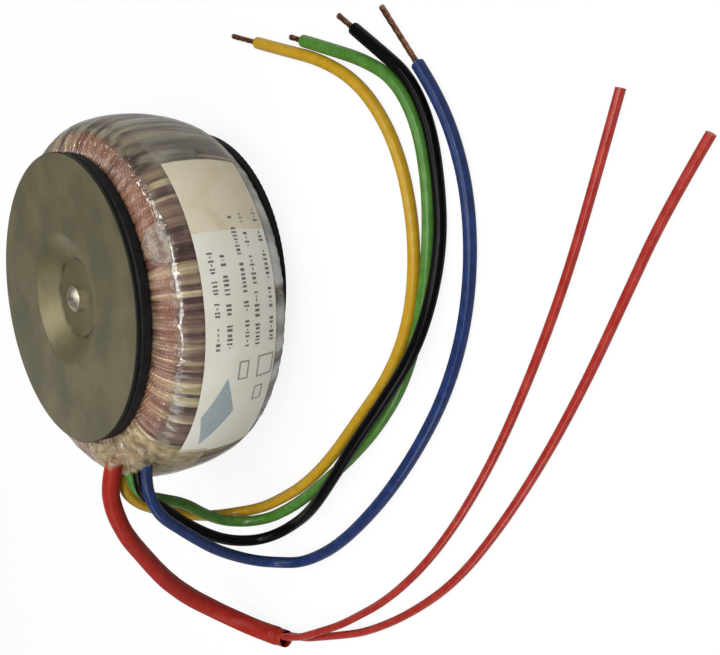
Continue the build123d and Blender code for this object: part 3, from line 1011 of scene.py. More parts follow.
@dataclass
class OuterFilm:
    """The clear film wound round the toroid, lapped in bands and drawn into ridges by the turns.

    ridge, lap and the wrinkles are heights. lean is how far a lap leans over, in bands, and
    lap_start is the share of a band after which the next lap begins.
    """

    section: ToroidSection
    turns: int = 104
    bands: int = 34
    lean: float = 0.35
    lap_start: float = 0.93
    ridge: float = 0.10 * MM
    lap: float = 0.05 * MM
    wrinkle: float = 0.05 * MM
    shoulder_wrinkle: float = 0.12 * MM
    samples: int = 6
    along: int = 110

    def bunching(self, angle: np.ndarray, along: np.ndarray, height: np.ndarray) -> Shape:
        """Where the film lies in several layers, and where these look pale.

        It does so in streaks on the bare wall past the label's end, in a pale band along the lower
        edge under the label whose pale tint is partly a painted reflection, and in a band round
        the upper shoulder laid where the highlight line falls, a painted highlight that makes the
        film's reflection show more there.

        Args:
            angle: Angle round the axis of each row of the film.
            along: Distance along the section of each column.
            height: Height from mid height of each column.

        Returns:
            The share of extra layers and the share of pale film, each from 0 to 1.
        """
        turned = (np.degrees(angle) + 180.0) % 360.0 - 180.0
        streak = ripple(angle * self.section.radius / MM, along * 40, 23, 16, 0.9)
        bare = plateau(turned, -52.0, -47.0, 60.0, 120.0)
        wall = 1 - smooth_step(np.abs(height), 15 * MM, 19 * MM)
        front = plateau(turned, -162.0, -145.0, -44.0, -30.0)
        # painted reflection, in part: a pale band along the lower edge under the label
        below = smooth_step(-height, 10.5 * MM, 13.5 * MM) * front
        # painted highlight: extra cover along the upper shoulder where the highlight line falls
        highlight_band = plateau(height, 16.3 * MM, 17.3 * MM, 18.3 * MM, 19.3 * MM)
        layers = bare * wall * (0.55 + 0.5 * streak) + below * (0.9 + 0.4 * streak) + 0.55 * highlight_band
        return np.clip(layers, 0, 1), np.clip(below * (0.6 + 0.5 * streak), 0, 1)

    def build(self) -> bpy.types.Object:
        """Model the film as one closed surface.

        Its height is a ridge over each turn, (1 + cos(n a)) / 2, less a small step at each lap of
        the bands, less soft wrinkles that deepen round the shoulders.

        Returns:
            The film.
        """
        points, normals, along = self.section.loop(0.0, self.along, bore_share=0.3)
        along = along[None, :]
        height = points[None, :, 1]
        rows = self.turns * self.samples
        angle = 2 * np.pi * (np.arange(rows) + 0.5)[:, None] / rows
        ridge = 0.5 + 0.5 * np.cos(self.turns * angle)
        lean = self.lean * np.sin(2 * np.pi * along / along.max())
        band = (self.bands * angle / (2 * np.pi) + lean + 0.15 * np.sin(5 * angle)) % 1.0
        lap = plateau(band, 0.0, self.lap_start, self.lap_start, 1.0)
        bend = smooth_step(np.abs(height), 12 * MM, 17 * MM)
        crease = ripple(angle * self.section.radius / MM, along * 0.25 / MM, 7, 14, 1.6)
        soft = (self.wrinkle + self.shoulder_wrinkle * bend) * (0.5 + 0.5 * crease)
        rise = -self.ridge * (1 - ridge) - self.lap * lap - soft
        thing = make_object(
            "clear_film_wrap",
            self.section.place(points, normals, np.broadcast_to(angle, (rows, self.along)), rise),
            grid_faces(rows, self.along, True, True)[:, ::-1],
        )
        layers, pale = self.bunching(angle, along, height)
        set_attribute(thing, "layers", layers)
        set_attribute(thing, "pale", pale)
        film = ClearFilm("clear_polyester_film", "#24231e", "#8f8972", 0.07, 0.56, 0.06, 0.5, 2.2,
                         drawn=(1.0, 1.0, 0.1), bunched=0.6)
        dress(thing, film.build())
        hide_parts("outer_film")
        return thing


@dataclass
class FilmFold:
    """A loose corner of the label's film, folded over the upper shoulder and bulging a little.

    first and last are angles round the axis, low and high angles up the shoulder's arc.
    """

    section: ToroidSection
    first: float = math.radians(-81)
    last: float = math.radians(-67.5)
    low: float = math.radians(42)
    high: float = math.radians(77)
    lift: float = 0.06 * MM
    bulge: float = 0.18 * MM
    film: float = 0.06 * MM
    narrow: float = 0.32
    count: int = 40

    def build(self) -> bpy.types.Object:
        """Model the fold as a pillow, lift + bulge sqrt(sin(pi u) sin(pi v)), over the shoulder.

        u runs round the axis and v up the shoulder, where the fold narrows with v^3.

        Returns:
            The fold.
        """
        x, y = self.section.shoulder_place()
        share = np.linspace(0, 1, self.count)
        u, v = np.meshgrid(share, share, indexing="ij")
        taper = 0.5 - (0.5 - self.narrow * v**3) * (1 - 2 * u)
        angle = self.first + (self.last - self.first) * taper
        slope = self.low + (self.high - self.low) * v
        swell = np.sqrt(np.clip(np.sin(np.pi * u) * np.sin(np.pi * v), 0, None))
        rise = self.lift + self.bulge * swell * (0.8 + 0.2 * ripple(u * 6, v * 6, 31, 6, 2.0))
        radius = x + (self.section.shoulder + rise) * np.cos(slope)
        level = y + (self.section.shoulder + rise) * np.sin(slope) + self.section.middle
        grid = np.stack([radius * np.cos(angle), radius * np.sin(angle), level], -1).reshape(-1, 3)
        thing = make_object("film_fold", grid, grid_faces(self.count, self.count, False, False))
        thickness = thing.modifiers.new("thickness", "SOLIDIFY")
        thickness.thickness = self.film
        thickness.offset = 1.0
        fold = ClearFilm("folded_clear_film", "#7d6a55", "#b09c80", 0.22, 0.8, 0.22, 0.4, 1.6)
        return dress(thing, fold.build())


@dataclass
class AnchorTape:
    """Crumpled clear tape that holds the roots of the leads on the upper shoulder.

    slopes and window are angles over the shoulder in degrees; fade is an angle in radians.
    """

    section: ToroidSection
    first: float = math.radians(172)
    last: float = math.radians(216)
    roots: tuple[tuple[float, float, float, float], ...] = (
        (198.8, 6.7, 4.6, 70), (193.7, 4.1, 2.8, 58), (197.7, 4.1, 2.8, 55),
        (202.9, 4.2, 2.8, 51), (206.7, 4.1, 2.8, 47),
    )
    around_mm: float = 54.0
    over_mm: float = 13.0
    fade: float = 0.05
    lift: float = 0.12 * MM
    crumpling: float = 0.42 * MM
    tape: float = 0.1 * MM
    slopes: tuple[float, float] = (90, 4)
    window: tuple[float, float, float, float] = (-20, -8, 5, 15)
    cells: tuple[int, int] = (150, 90)

    def build(self) -> bpy.types.Object:
        """Model the tape as a skin over the shoulder, raised into a lump over each lead's root.

        Each root has its angle in degrees, the height and half width of its lump in mm and the
        slope in degrees where it starts. The height is the lift, plus the greatest over the
        roots of height exp(-(d / width)^2) in a window of slopes about the start, plus crumples,
        |ripple|, that are deepest on the lumps.
        Distances are an angle times the mean radius, around_mm, and a slope times over_mm.

        Returns:
            The tape.
        """
        x, y = self.section.shoulder_place()
        rows, columns = self.cells
        angle = np.linspace(self.first, self.last, rows)[:, None]
        slope = np.radians(np.linspace(*self.slopes, columns))[None, :]
        meet = math.atan2(y, x - (self.section.radius - self.section.barrel))
        on_wall = slope < meet
        centre_x = np.where(on_wall, self.section.radius - self.section.barrel, x)
        centre_y = np.where(on_wall, 0.0, y)
        reach = np.where(on_wall, self.section.barrel, self.section.shoulder)
        lumps = np.zeros((rows, columns))
        steep = -np.degrees(slope)
        for place, height, width, start in self.roots:
            window = plateau(steep, *(edge - start for edge in self.window))
            gap = (angle - math.radians(place)) * self.around_mm
            lumps = np.maximum(lumps, height * MM * np.exp(-((gap / width) ** 2)) * window)
        held = lumps / lumps.max()
        u = angle * self.around_mm
        v = slope * self.over_mm
        crumple = np.abs(ripple(u, v, 11, 10, 1.5)) + 0.5 * np.abs(ripple(u, v, 12, 12, 3.0))
        ends = plateau(angle, self.first, self.first + self.fade, self.last - self.fade, self.last)
        edge = 1 - smooth_step(steep, -14, -6)
        rise = self.lift + (lumps + self.crumpling * crumple * (0.45 + held)) * ends * edge
        radius = centre_x + (reach + rise) * np.cos(slope)
        level = centre_y + (reach + rise) * np.sin(slope) + self.section.middle
        grid = np.stack([radius * np.cos(angle), radius * np.sin(angle), level], -1).reshape(-1, 3)
        thing = make_object("lead_tape", grid, grid_faces(rows, columns, False, False))
        thickness = thing.modifiers.new("thickness", "SOLIDIFY")
        thickness.thickness = self.tape
        thickness.offset = 1.0
        tape = ClearFilm("crumpled_clear_tape", "#8f7a52", "#dcc99c", 0.18, 0.55, 0.07, 0.9, 1.2)
        dress(thing, tape.build())
        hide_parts("lead_anchor_tape")
        return thing


# ---- label --------------------------------------------------------------------------------
class Mark(Enum):
    """The plain stand-ins that the label's print is reduced to."""

    LINE = "line"
    FIELD = "field"
    BOX = "box"


@dataclass
class RatingLabel:
    """Print on the rating label: rows of plain blocks, a tinted field and small pale boxes.

    Places on the wall are angles round the axis in degrees and heights in mm. A row is its
    first and last angle and its height, and a box its two angles and two heights. The pairs
    that end the list are the ranges from which the blocks' sizes are drawn.
    """

    section: ToroidSection
    lift: float = 0.2 * MM
    rows: tuple[tuple[float, float, float], ...] = (
        (-107.6, -80.4, 34.5), (-107.2, -80.4, 31.0), (-107.2, -70.7, 25.3),
        (-107.2, -69.9, 21.6), (-106.8, -66.6, 16.2),
    )
    field_corners: tuple[tuple[float, float], ...] = (
        (-141.3, 33.4), (-127.8, 26.4), (-116.2, 30.6), (-129.2, 36.3),
    )
    boxes: tuple[tuple[float, float, float, float], ...] = (
        (-117.6, -110.8, 14.6, 20.8), (-125.6, -120.6, 17.2, 20.6), (-117.2, -111.4, 24.0, 27.4),
    )
    stroke: float = 0.5
    cells: tuple[int, int] = (25, 13)
    word: tuple[float, float] = (2.5, 8.0)
    word_gap: tuple[float, float] = (1.4, 2.6)
    block: tuple[float, float] = (0.4, 0.85)
    block_gap: tuple[float, float] = (0.4, 0.75)
    tall: tuple[float, float] = (1.2, 1.8)
    dash: float = 0.45
    dash_share: float = 0.25

    def wall_point(self, angle: np.ndarray, level: np.ndarray) -> np.ndarray:
        """A point on the label: the wall's radius is r0 + sqrt(R^2 - y^2) at y from mid height.

        Args:
            angle: Angle round the axis, in radians.
            level: Height above the floor.

        Returns:
            The points, with x, y and z on the last axis.
        """
        y = level - self.section.middle
        barrel = self.section.barrel
        reach = self.section.radius - barrel + np.sqrt((barrel + self.lift) ** 2 - y**2)
        return np.stack([reach * np.cos(angle), reach * np.sin(angle), level], -1)

    def patch(self, corners: np.ndarray) -> Shape:
        """Lay a four-sided patch on the wall, cut into a grid that follows the curve.

        A point is (1-s)(1-t) A + s(1-t) B + s t C + (1-s) t D of the corners, in angle and height.

        Args:
            corners: Angle in radians and height of A, B, C and D.

        Returns:
            The patch's points and faces.
        """
        rows, columns = self.cells
        s = np.linspace(0, 1, rows)[:, None, None]
        t = np.linspace(0, 1, columns)[None, :, None]
        a, b, c, d = corners
        spread = (1 - s) * (1 - t) * a + s * (1 - t) * b + s * t * c + (1 - s) * t * d
        points = self.wall_point(spread[..., 0], spread[..., 1]).reshape(-1, 3)
        return points, grid_faces(rows, columns, False, False)

    def frame_lines(self, first: float, last: float, low: float, high: float) -> Shape:
        """Model an empty frame from four thin strokes.

        Args:
            first: Angle of its left side, in degrees.
            last: Angle of its right side, in degrees.
            low: Height of its lower side, in mm.
            high: Height of its upper side, in mm.

        Returns:
            The points and the faces.
        """
        wide = self.stroke
        strokes = (
            (first, last, low, low + wide),
            (first, last, high - wide, high),
            (first, first + wide, low + wide, high - wide),
            (last - wide, last, low + wide, high - wide),
        )
        points, faces, count = [], [], 0
        for left, right, bottom, top in strokes:
            a, b, c, d = math.radians(left), math.radians(right), bottom * MM, top * MM
            more, quads = self.patch(np.array([(a, c), (b, c), (b, d), (a, d)]))
            points.append(more)
            faces.append(quads + count)
            count += len(more)
        return np.concatenate(points), np.concatenate(faces)

    def blocks(self) -> Shape:
        """Cut each row of print into words of small blocks of uneven width.

        Returns:
            Points and faces of all the blocks, four points each.
        """
        draw = np.random.default_rng(21)
        starts, widths, levels, heights = [], [], [], []
        for first, last, middle in self.rows:
            place = first
            while place < last:
                word_end = place + draw.uniform(*self.word)
                while place < min(word_end, last):
                    width = draw.uniform(*self.block)
                    short = draw.random() <= self.dash_share
                    tall = self.dash if short else draw.uniform(*self.tall)
                    starts.append(place)
                    widths.append(width)
                    levels.append(middle)
                    heights.append(tall)
                    place += width + draw.uniform(*self.block_gap)
                place += draw.uniform(*self.word_gap)
        angle = np.radians(np.stack([starts, np.add(starts, widths)], 1))
        half = np.divide(heights, 2)
        level = np.stack([np.subtract(levels, half), np.add(levels, half)], 1) * MM
        points = self.wall_point(angle[:, [0, 1, 1, 0]], level[:, [0, 0, 1, 1]]).reshape(-1, 3)
        return points, np.arange(len(points)).reshape(-1, 4)

    def printed(
        self, name: str, shape: Shape, ink: bpy.types.Material, smooth: bool
    ) -> bpy.types.Object:
        """Make one piece of print.

        Args:
            name: What follows "label_print_" in its name.
            shape: Its points and faces.
            ink: Its finish.
            smooth: Whether its faces are shaded smooth.

        Returns:
            The piece.
        """
        return dress(make_object(f"label_print_{name}", *shape, smooth), ink)

    def build(self) -> list[bpy.types.Object]:
        """Make the print, each ink as one piece.

        Returns:
            The pieces of print.
        """
        ink = LabelInk("black_label_ink", "#57534d", "#8d8980").build()
        tint = LabelInk("grey_blue_label_ink", "#8b999f", "#a0abad").build()
        pale = LabelInk("grey_label_ink", "#807c72", "#a5a194").build()
        corners = np.array([(math.radians(a), z * MM) for a, z in self.field_corners])
        made = [
            self.printed(Mark.LINE.value, self.blocks(), ink, smooth=False),
            self.printed(Mark.FIELD.value, self.patch(corners), tint, smooth=True),
        ]
        for number, sides in enumerate(self.boxes):
            name = f"{Mark.BOX.value}_{number}"
            made.append(self.printed(name, self.frame_lines(*sides), pale, smooth=True))
        return made


# ---- leads --------------------------------------------------------------------------------
@dataclass
class Lead:
    """A free lead: its route's points in millimetres, on which a smooth line is hung.

    strands is the length of the stripped end, where it has one; the sizes after parts are
    those of the strands and of their lay.
    """

    name: str
    diameter: float
    length: float
    route: tuple[Point, ...]
    finish: Finish
    slot: str
    node: str
    strands: float = 0.0
    parts: list[bpy.types.Object] = field(default_factory=list)
    strand_radius: float = 0.26 * MM
    strand_ring: float = 0.52 * MM
    strand_lay: float = 16 * MM
    outer_strands: int = 6
    splay: float = 0.12
    cut_tip: float = 0.55
    hidden: float = 1.0 * MM
    strand_cells: tuple[int, int] = (40, 8)

    def points(self) -> np.ndarray:
        """The route's points, in metres."""
        return np.array(self.route, float) * MM

    def curve(self, name: str) -> bpy.types.Object:
        """Hang a smooth open line on the route's points.

        Args:
            name: The curve's name.

        Returns:
            A curve object of one NURBS spline, without thickness.
        """
        data = bpy.data.curves.new(name, "CURVE")
        data.dimensions = "3D"
        data.resolution_u = 8
        spline = data.splines.new("NURBS")
        points = self.points()
        spline.points.add(len(points) - 1)
        spline.points.foreach_set("co", np.column_stack([points, np.ones(len(points))]).ravel())
        spline.order_u = 3
        spline.use_endpoint_u = True
        thing = bpy.data.objects.new(name, data)
        bpy.context.scene.collection.objects.link(thing)
        return thing

    def build(self) -> bpy.types.Object:
        """Make the lead, with its stripped strands where it has them.

        Returns:
            The lead.
        """
        thing = self.curve(self.name)
        thing.data.bevel_depth = self.diameter / 2
        thing.data.bevel_resolution = 5
        thing.data.use_fill_caps = True
        dress(thing, self.finish.build())
        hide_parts(self.node)
        if self.strands:
            self.parts.append(self.stripped_end())
        return thing

    def stripped_end(self) -> bpy.types.Object:
        """Make the bare end: strands twisted round a middle one, a little splayed at the tip.

        Strand k of n follows c + a t + h(t) (cos(p) u + sin(p) v), p = 2 pi (k / n + t / lay),
        and one more runs down the middle.

        Returns:
            The strands.
        """
        points = self.points()
        tip = points[-1]
        ahead = (tip - points[-2]) / np.linalg.norm(tip - points[-2])
        side = np.cross(ahead, (0.0, 0.0, 1.0))
        side /= np.linalg.norm(side)
        above = np.cross(side, ahead)
        rings, sides = self.strand_cells
        t = np.linspace(-self.hidden, self.strands, rings)
        outer = self.outer_strands
        k = np.arange(outer + 1)
        ring = np.where(k < outer, self.strand_ring, 0.0)[:, None]
        splay = 1 + self.splay * smooth_step(t, 0.5 * self.strands, self.strands)[None, :]
        phase = 2 * np.pi * (k[:, None] / outer + t[None, :] / self.strand_lay)
        middle = (tip + ahead * t[None, :, None]
                  + (ring * splay * np.cos(phase))[..., None] * side
                  + (ring * splay * np.sin(phase))[..., None] * above)
        turn = 2 * np.pi * np.arange(sides) / sides
        around = np.cos(turn)[:, None] * side + np.sin(turn)[:, None] * above
        taper = np.where(np.arange(rings) == rings - 1, self.cut_tip, 1.0)[None, :, None, None]
        skin = middle[:, :, None, :] + self.strand_radius * taper * around[None, None, :, :]
        one = grid_faces(rings, sides, False, True)
        faces = np.concatenate([one + strand * rings * sides for strand in k])
        thing = make_object(self.name + "_bare_end", skin.reshape(-1, 3), faces)
        dress(thing, BareStrands("bare_copper_strands").build())
        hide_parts(self.node + "_strands")
        return thing


@dataclass
class Sleeve(Lead):
    """The red sleeve, an open-ended tube over both primary leads.

    mouth is how long the step at its open end is and layer how deep; pinched is how much the
    tape narrows it, up to the shares of its length in pinch_ends.
    """

    bore: float = 5.2 * MM
    mouth: float = 3.5 * MM
    layer: float = 0.22 * MM
    pinched: float = 0.3 * MM
    pinch_ends: tuple[float, float] = (0.3, 0.65)
    creasing: float = 0.02
    sides: int = 32

    def build(self) -> bpy.types.Object:
        """Make the sleeve's wall by carrying a ring along its line and back inside it.

        A point is c(s) + r (cos a n + sin a b), with n level and across the line, b = n x t, and
        r the outer radius on the way out and the bore's on the way back. Both are less
        where the tape pinches the sleeve, and an outer layer stops short of the mouth.

        Returns:
            The sleeve.
        """
        line = self.curve(self.name + "_line")
        mesh = bpy.data.meshes.new_from_object(line)
        path = np.zeros(len(mesh.vertices) * 3)
        mesh.vertices.foreach_get("co", path)
        path = path.reshape(-1, 3)
        bpy.data.objects.remove(line)
        bpy.data.meshes.remove(mesh)
        tangent = np.gradient(path, axis=0)
        tangent /= np.linalg.norm(tangent, axis=1, keepdims=True)
        across = np.cross(tangent, (0.0, 0.0, 1.0))
        across /= np.linalg.norm(across, axis=1, keepdims=True)
        upward = np.cross(across, tangent)
        turn = 2 * np.pi * np.arange(self.sides)[None, :, None] / self.sides
        ring = np.cos(turn) * across[:, None, :] + np.sin(turn) * upward[:, None, :]
        along = np.linspace(0, 1, len(path))[:, None, None]
        crease = 1 + self.creasing * ripple(along * 60, np.cos(turn) * 2, 5, 8, 1.0)
        pinch = 1 - smooth_step(along, *self.pinch_ends)
        wall = self.diameter / 2 - self.pinched * pinch
        outer = path[:, None, :] + wall * ring * np.minimum(crease, 1.0)
        inner = path[:, None, :] + (self.bore / 2 - self.pinched / 2 * pinch) * ring
        collar = int(np.searchsorted(along.ravel(), 1 - self.mouth / self.length))
        thinner = path[collar:, None, :] + (self.diameter / 2 - self.layer) * ring[collar:]
        skin = np.concatenate([outer[:collar + 1], thinner, inner[::-1]])
        faces = grid_faces(len(skin), self.sides, True, True)
        thing = make_object(self.name, skin.reshape(-1, 3), faces)
        dress(thing, self.finish.build())
        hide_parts(self.node)
        points = self.points()
        return thing


@dataclass
class LeadSet:
    """All the leads, in the order in which they leave the tape.

    floor and thin_floor are the heights in mm at which a secondary and a primary lead lie, and
    beside_mm is how far each primary lead is from the sleeve's middle.
    """

    wire: float = 3.5 * MM
    thin_wire: float = 2.3 * MM
    floor: float = 1.75
    thin_floor: float = 1.15
    beside_mm: float = 1.25

    def routes(self) -> dict[str, tuple[Point, ...]]:
        """The leads' points in mm, from the tape, over the shoulder and along the floor.

        Returns:
            The points of each lead, by its name; the primary leads' start at the sleeve's mouth.
        """
        low, thin = self.floor, self.thin_floor
        return {
            "yellow": (
                (-50.9, -12.4, 46.9), (-57, -12.1, 47.1), (-61.9, -10.5, 43.7), (-66, -8.2, 37.8),
                (-69.6, -6.8, 30.2), (-72.9, -6.8, 22.7), (-75.1, -7.8, 15.3), (-75.5, -11.3, 8.1),
                (-74.4, -18.9, 3.1), (-70.9, -28.1, low), (-65, -41.6, low), (-55.6, -56.5, low),
                (-42.5, -71.8, low), (-29.3, -87.4, low), (-14.5, -97.6, low), (3.6, -102.6, low),
                (21.2, -102.3, low), (36.1, -98.1, low), (49.8, -88.8, low), (59.3, -74.8, low),
                (65.8, -59.2, low), (71.1, -46.8, low),
            ),
            "green": (
                (-50.9, -16.2, 46.2), (-55.9, -16.5, 46.3), (-60.5, -15.9, 42.2), (-63.5, -14.7, 35.2),
                (-67, -13.2, 27.4), (-72.4, -12.8, 20.8), (-76.2, -13.3, 14.5), (-78, -16.8, 7.9),
                (-77.2, -23.4, 3.3), (-73.8, -31.6, low), (-69.3, -41.1, low), (-61.7, -54.2, low),
                (-53.9, -66.8, low), (-43.8, -80.4, low), (-31, -92.7, low), (-15.2, -101.3, low),
                (3.4, -107.3, low), (20.2, -109.7, low), (35.9, -108.3, low), (47.9, -102.1, low),
                (55.2, -91.5, low), (61.1, -79.1, low), (66.2, -68, low),
            ),
            "black": (
                (-50, -21.1, 45.7), (-54.8, -22, 46.9), (-59.2, -21.2, 44.8), (-63.6, -20.1, 40),
                (-69, -19.3, 34.4), (-74.2, -18.9, 28.2), (-79, -18.7, 21.3), (-82.2, -18.9, 14.5),
                (-83.5, -21.8, 7.8), (-81.9, -27.3, 3.5), (-78.2, -34.5, 1.7), (-74, -42.8, 3),
                (-68.2, -52.1, 5), (-59.1, -62.2, 5.4), (-47.8, -74.3, 5.8), (-35.1, -88.4, 5.6),
                (-22.7, -100.8, 5), (-9.8, -107.9, 3.7), (4.8, -111.8, low), (19.7, -113.3, low),
                (34.9, -112.4, low), (47.3, -107.1, low), (55.9, -98.1, low), (63.9, -89.3, low),
            ),
            "blue": (
                (-49, -24.6, 44.8), (-53.8, -26.7, 46.8), (-59.3, -28, 46.7), (-64.9, -27.5, 43.9),
                (-70, -26.4, 38.3), (-75.1, -26, 32.6), (-80.5, -25.2, 26), (-85, -24.9, 18.7),
                (-88.6, -25.8, 11.6), (-90.4, -29.5, 5.5), (-90.2, -36.3, 2.5), (-86.7, -45.7, low),
                (-81.4, -56.1, low), (-73.5, -67.8, low), (-63, -80.9, low), (-49.4, -94.8, low),
                (-34.6, -107, low), (-18.7, -115.8, low), (-1.6, -120.9, low), (15.3, -122.3, low),
                (29.7, -120, low), (41.9, -115.3, low), (49.5, -110.7, low),
            ),
            "sleeve": (
                (-47.2, -16.1, 50.3), (-55.3, -13.4, 52.2), (-64, -11.1, 50.5), (-72.8, -8.5, 46.5),
                (-80.8, -4.8, 40.4), (-87.8, -2.7, 35.4), (-95.1, 0.2, 29.3), (-103.1, 2.1, 21.3),
                (-109.9, 1.3, 13.2), (-115.8, -4.2, 6.3), (-118.2, -13.1, 3.4), (-118.1, -23.9, 3),
            ),
            "primary_a": (
                (-116, -31, 3.9), (-112, -41, 3.3), (-108.5, -50, 1.7), (-105, -57, thin),
                (-95.7, -74, thin), (-82.8, -91, thin), (-68.1, -105.9, thin), (-50.2, -120.6, thin),
                (-30.3, -134, thin), (-8.6, -146.8, thin), (12.7, -157.2, thin), (31.4, -165.8, thin),
            ),
            "primary_b": (
                (-117, -31, thin), (-114, -41.5, thin), (-111, -52, thin), (-107, -64.5, thin),
                (-97.7, -83.4, thin), (-84.7, -103, thin), (-67.3, -120.6, thin), (-48, -137, thin),
                (-29.3, -150.7, thin), (-11, -162.6, thin), (4.7, -172.8, thin), (18.7, -184.1, thin),
            ),
        }

    @staticmethod
    def beside(route: Sequence[Point], offset: float) -> list[Point]:
        """Move a route sideways by offset, and over or under itself at its last bend.

        A point becomes p + offset (cos(r) right - sin(r) up), with right = (d_y, -d_x, 0) / |d|,
        up = right x d, and r rising from 0 to a right angle over the last three points but one.

        Args:
            route: The points, in millimetres.
            offset: How far to move, in millimetres.

        Returns:
            The moved points.
        """
        points = np.array(route, float)
        ahead = np.roll(points, -1, 0) - np.roll(points, 1, 0)
        ahead[0] = points[1] - points[0]
        ahead[-1] = points[-1] - points[-2]
        ahead /= np.linalg.norm(ahead, axis=1, keepdims=True)
        right = np.stack([ahead[:, 1], -ahead[:, 0], np.zeros(len(points))], 1)
        right /= np.linalg.norm(right, axis=1, keepdims=True)
        up = np.cross(right, ahead)
        roll = np.clip((np.arange(len(points)) - (len(points) - 4)) / 2, 0, 1)[:, None] * np.pi / 2
        moved = points + offset * (np.cos(roll) * right - np.sin(roll) * up)
        return [tuple(float(value) for value in point) for point in moved]

    def build(self) -> list[bpy.types.Object]:
        """Make every lead.

        Returns:
            The leads and the sleeve.
        """
        routes = self.routes()
        # two tones, the shine, the free length and the stripped length, both in mm
        secondaries = {
            "yellow": ("#a98316", "#b38f26", 0.25, 279, 13.0),
            "green": ("#3f6d26", "#4f7f34", 0.28, 267, 6.0),
            "black": ("#040404", "#090808", 0.1, 257, 7.5),
            "blue": ("#19284f", "#21366a", 0.2, 255, 20.0),
        }
        made = []
        for colour, (base, worn, shine, length, bare) in secondaries.items():
            finish = Pvc(f"{colour}_pvc", base, worn, shine=shine)
            lead = Lead(f"{colour}_wire", self.wire, length * MM, routes[colour], finish,
                        f"{colour}_pvc", f"{colour}_lead", bare * MM)
            made.append(lead.build())
        sleeving = Pvc("red_pvc_sleeving", "#8b1d14", "#98281d", 0.42, 0.14)
        made.append(Sleeve("red_sleeve", 6.0 * MM, 110 * MM, routes["sleeve"], sleeving,
                           "red_sleeve", "primary_sleeve").build())
        insulation = Pvc("red_pvc_insulation", "#911e15", "#a23225", 0.27, 0.38)
        for side, length, offset in (("a", 322, -self.beside_mm), ("b", 331, self.beside_mm)):
            inside = tuple(self.beside(routes["sleeve"], offset)[:-1])
            lead = Lead(f"primary_wire_{side}", self.thin_wire, length * MM,
                        inside + routes[f"primary_{side}"], insulation, "red_wire",
                        f"primary_lead_{side}")
            made.append(lead.build())
        return made


# ---- hardware and inner pieces -------------------------------------------------------------
@dataclass
class Hardware:
    """The pieces whose solids already have their true form and only get a finish."""

    finishes: dict[str, Finish]

    def build(self) -> None:
        """Give each solid its finish."""
        made: dict[str, bpy.types.Material] = {}
        for node, finish in self.finishes.items():
            if finish.name not in made:
                made[finish.name] = finish.build()
            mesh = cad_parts[node].data
            mesh.materials.clear()
            mesh.materials.append(made[finish.name])
            LOG.info("%s finished", node)


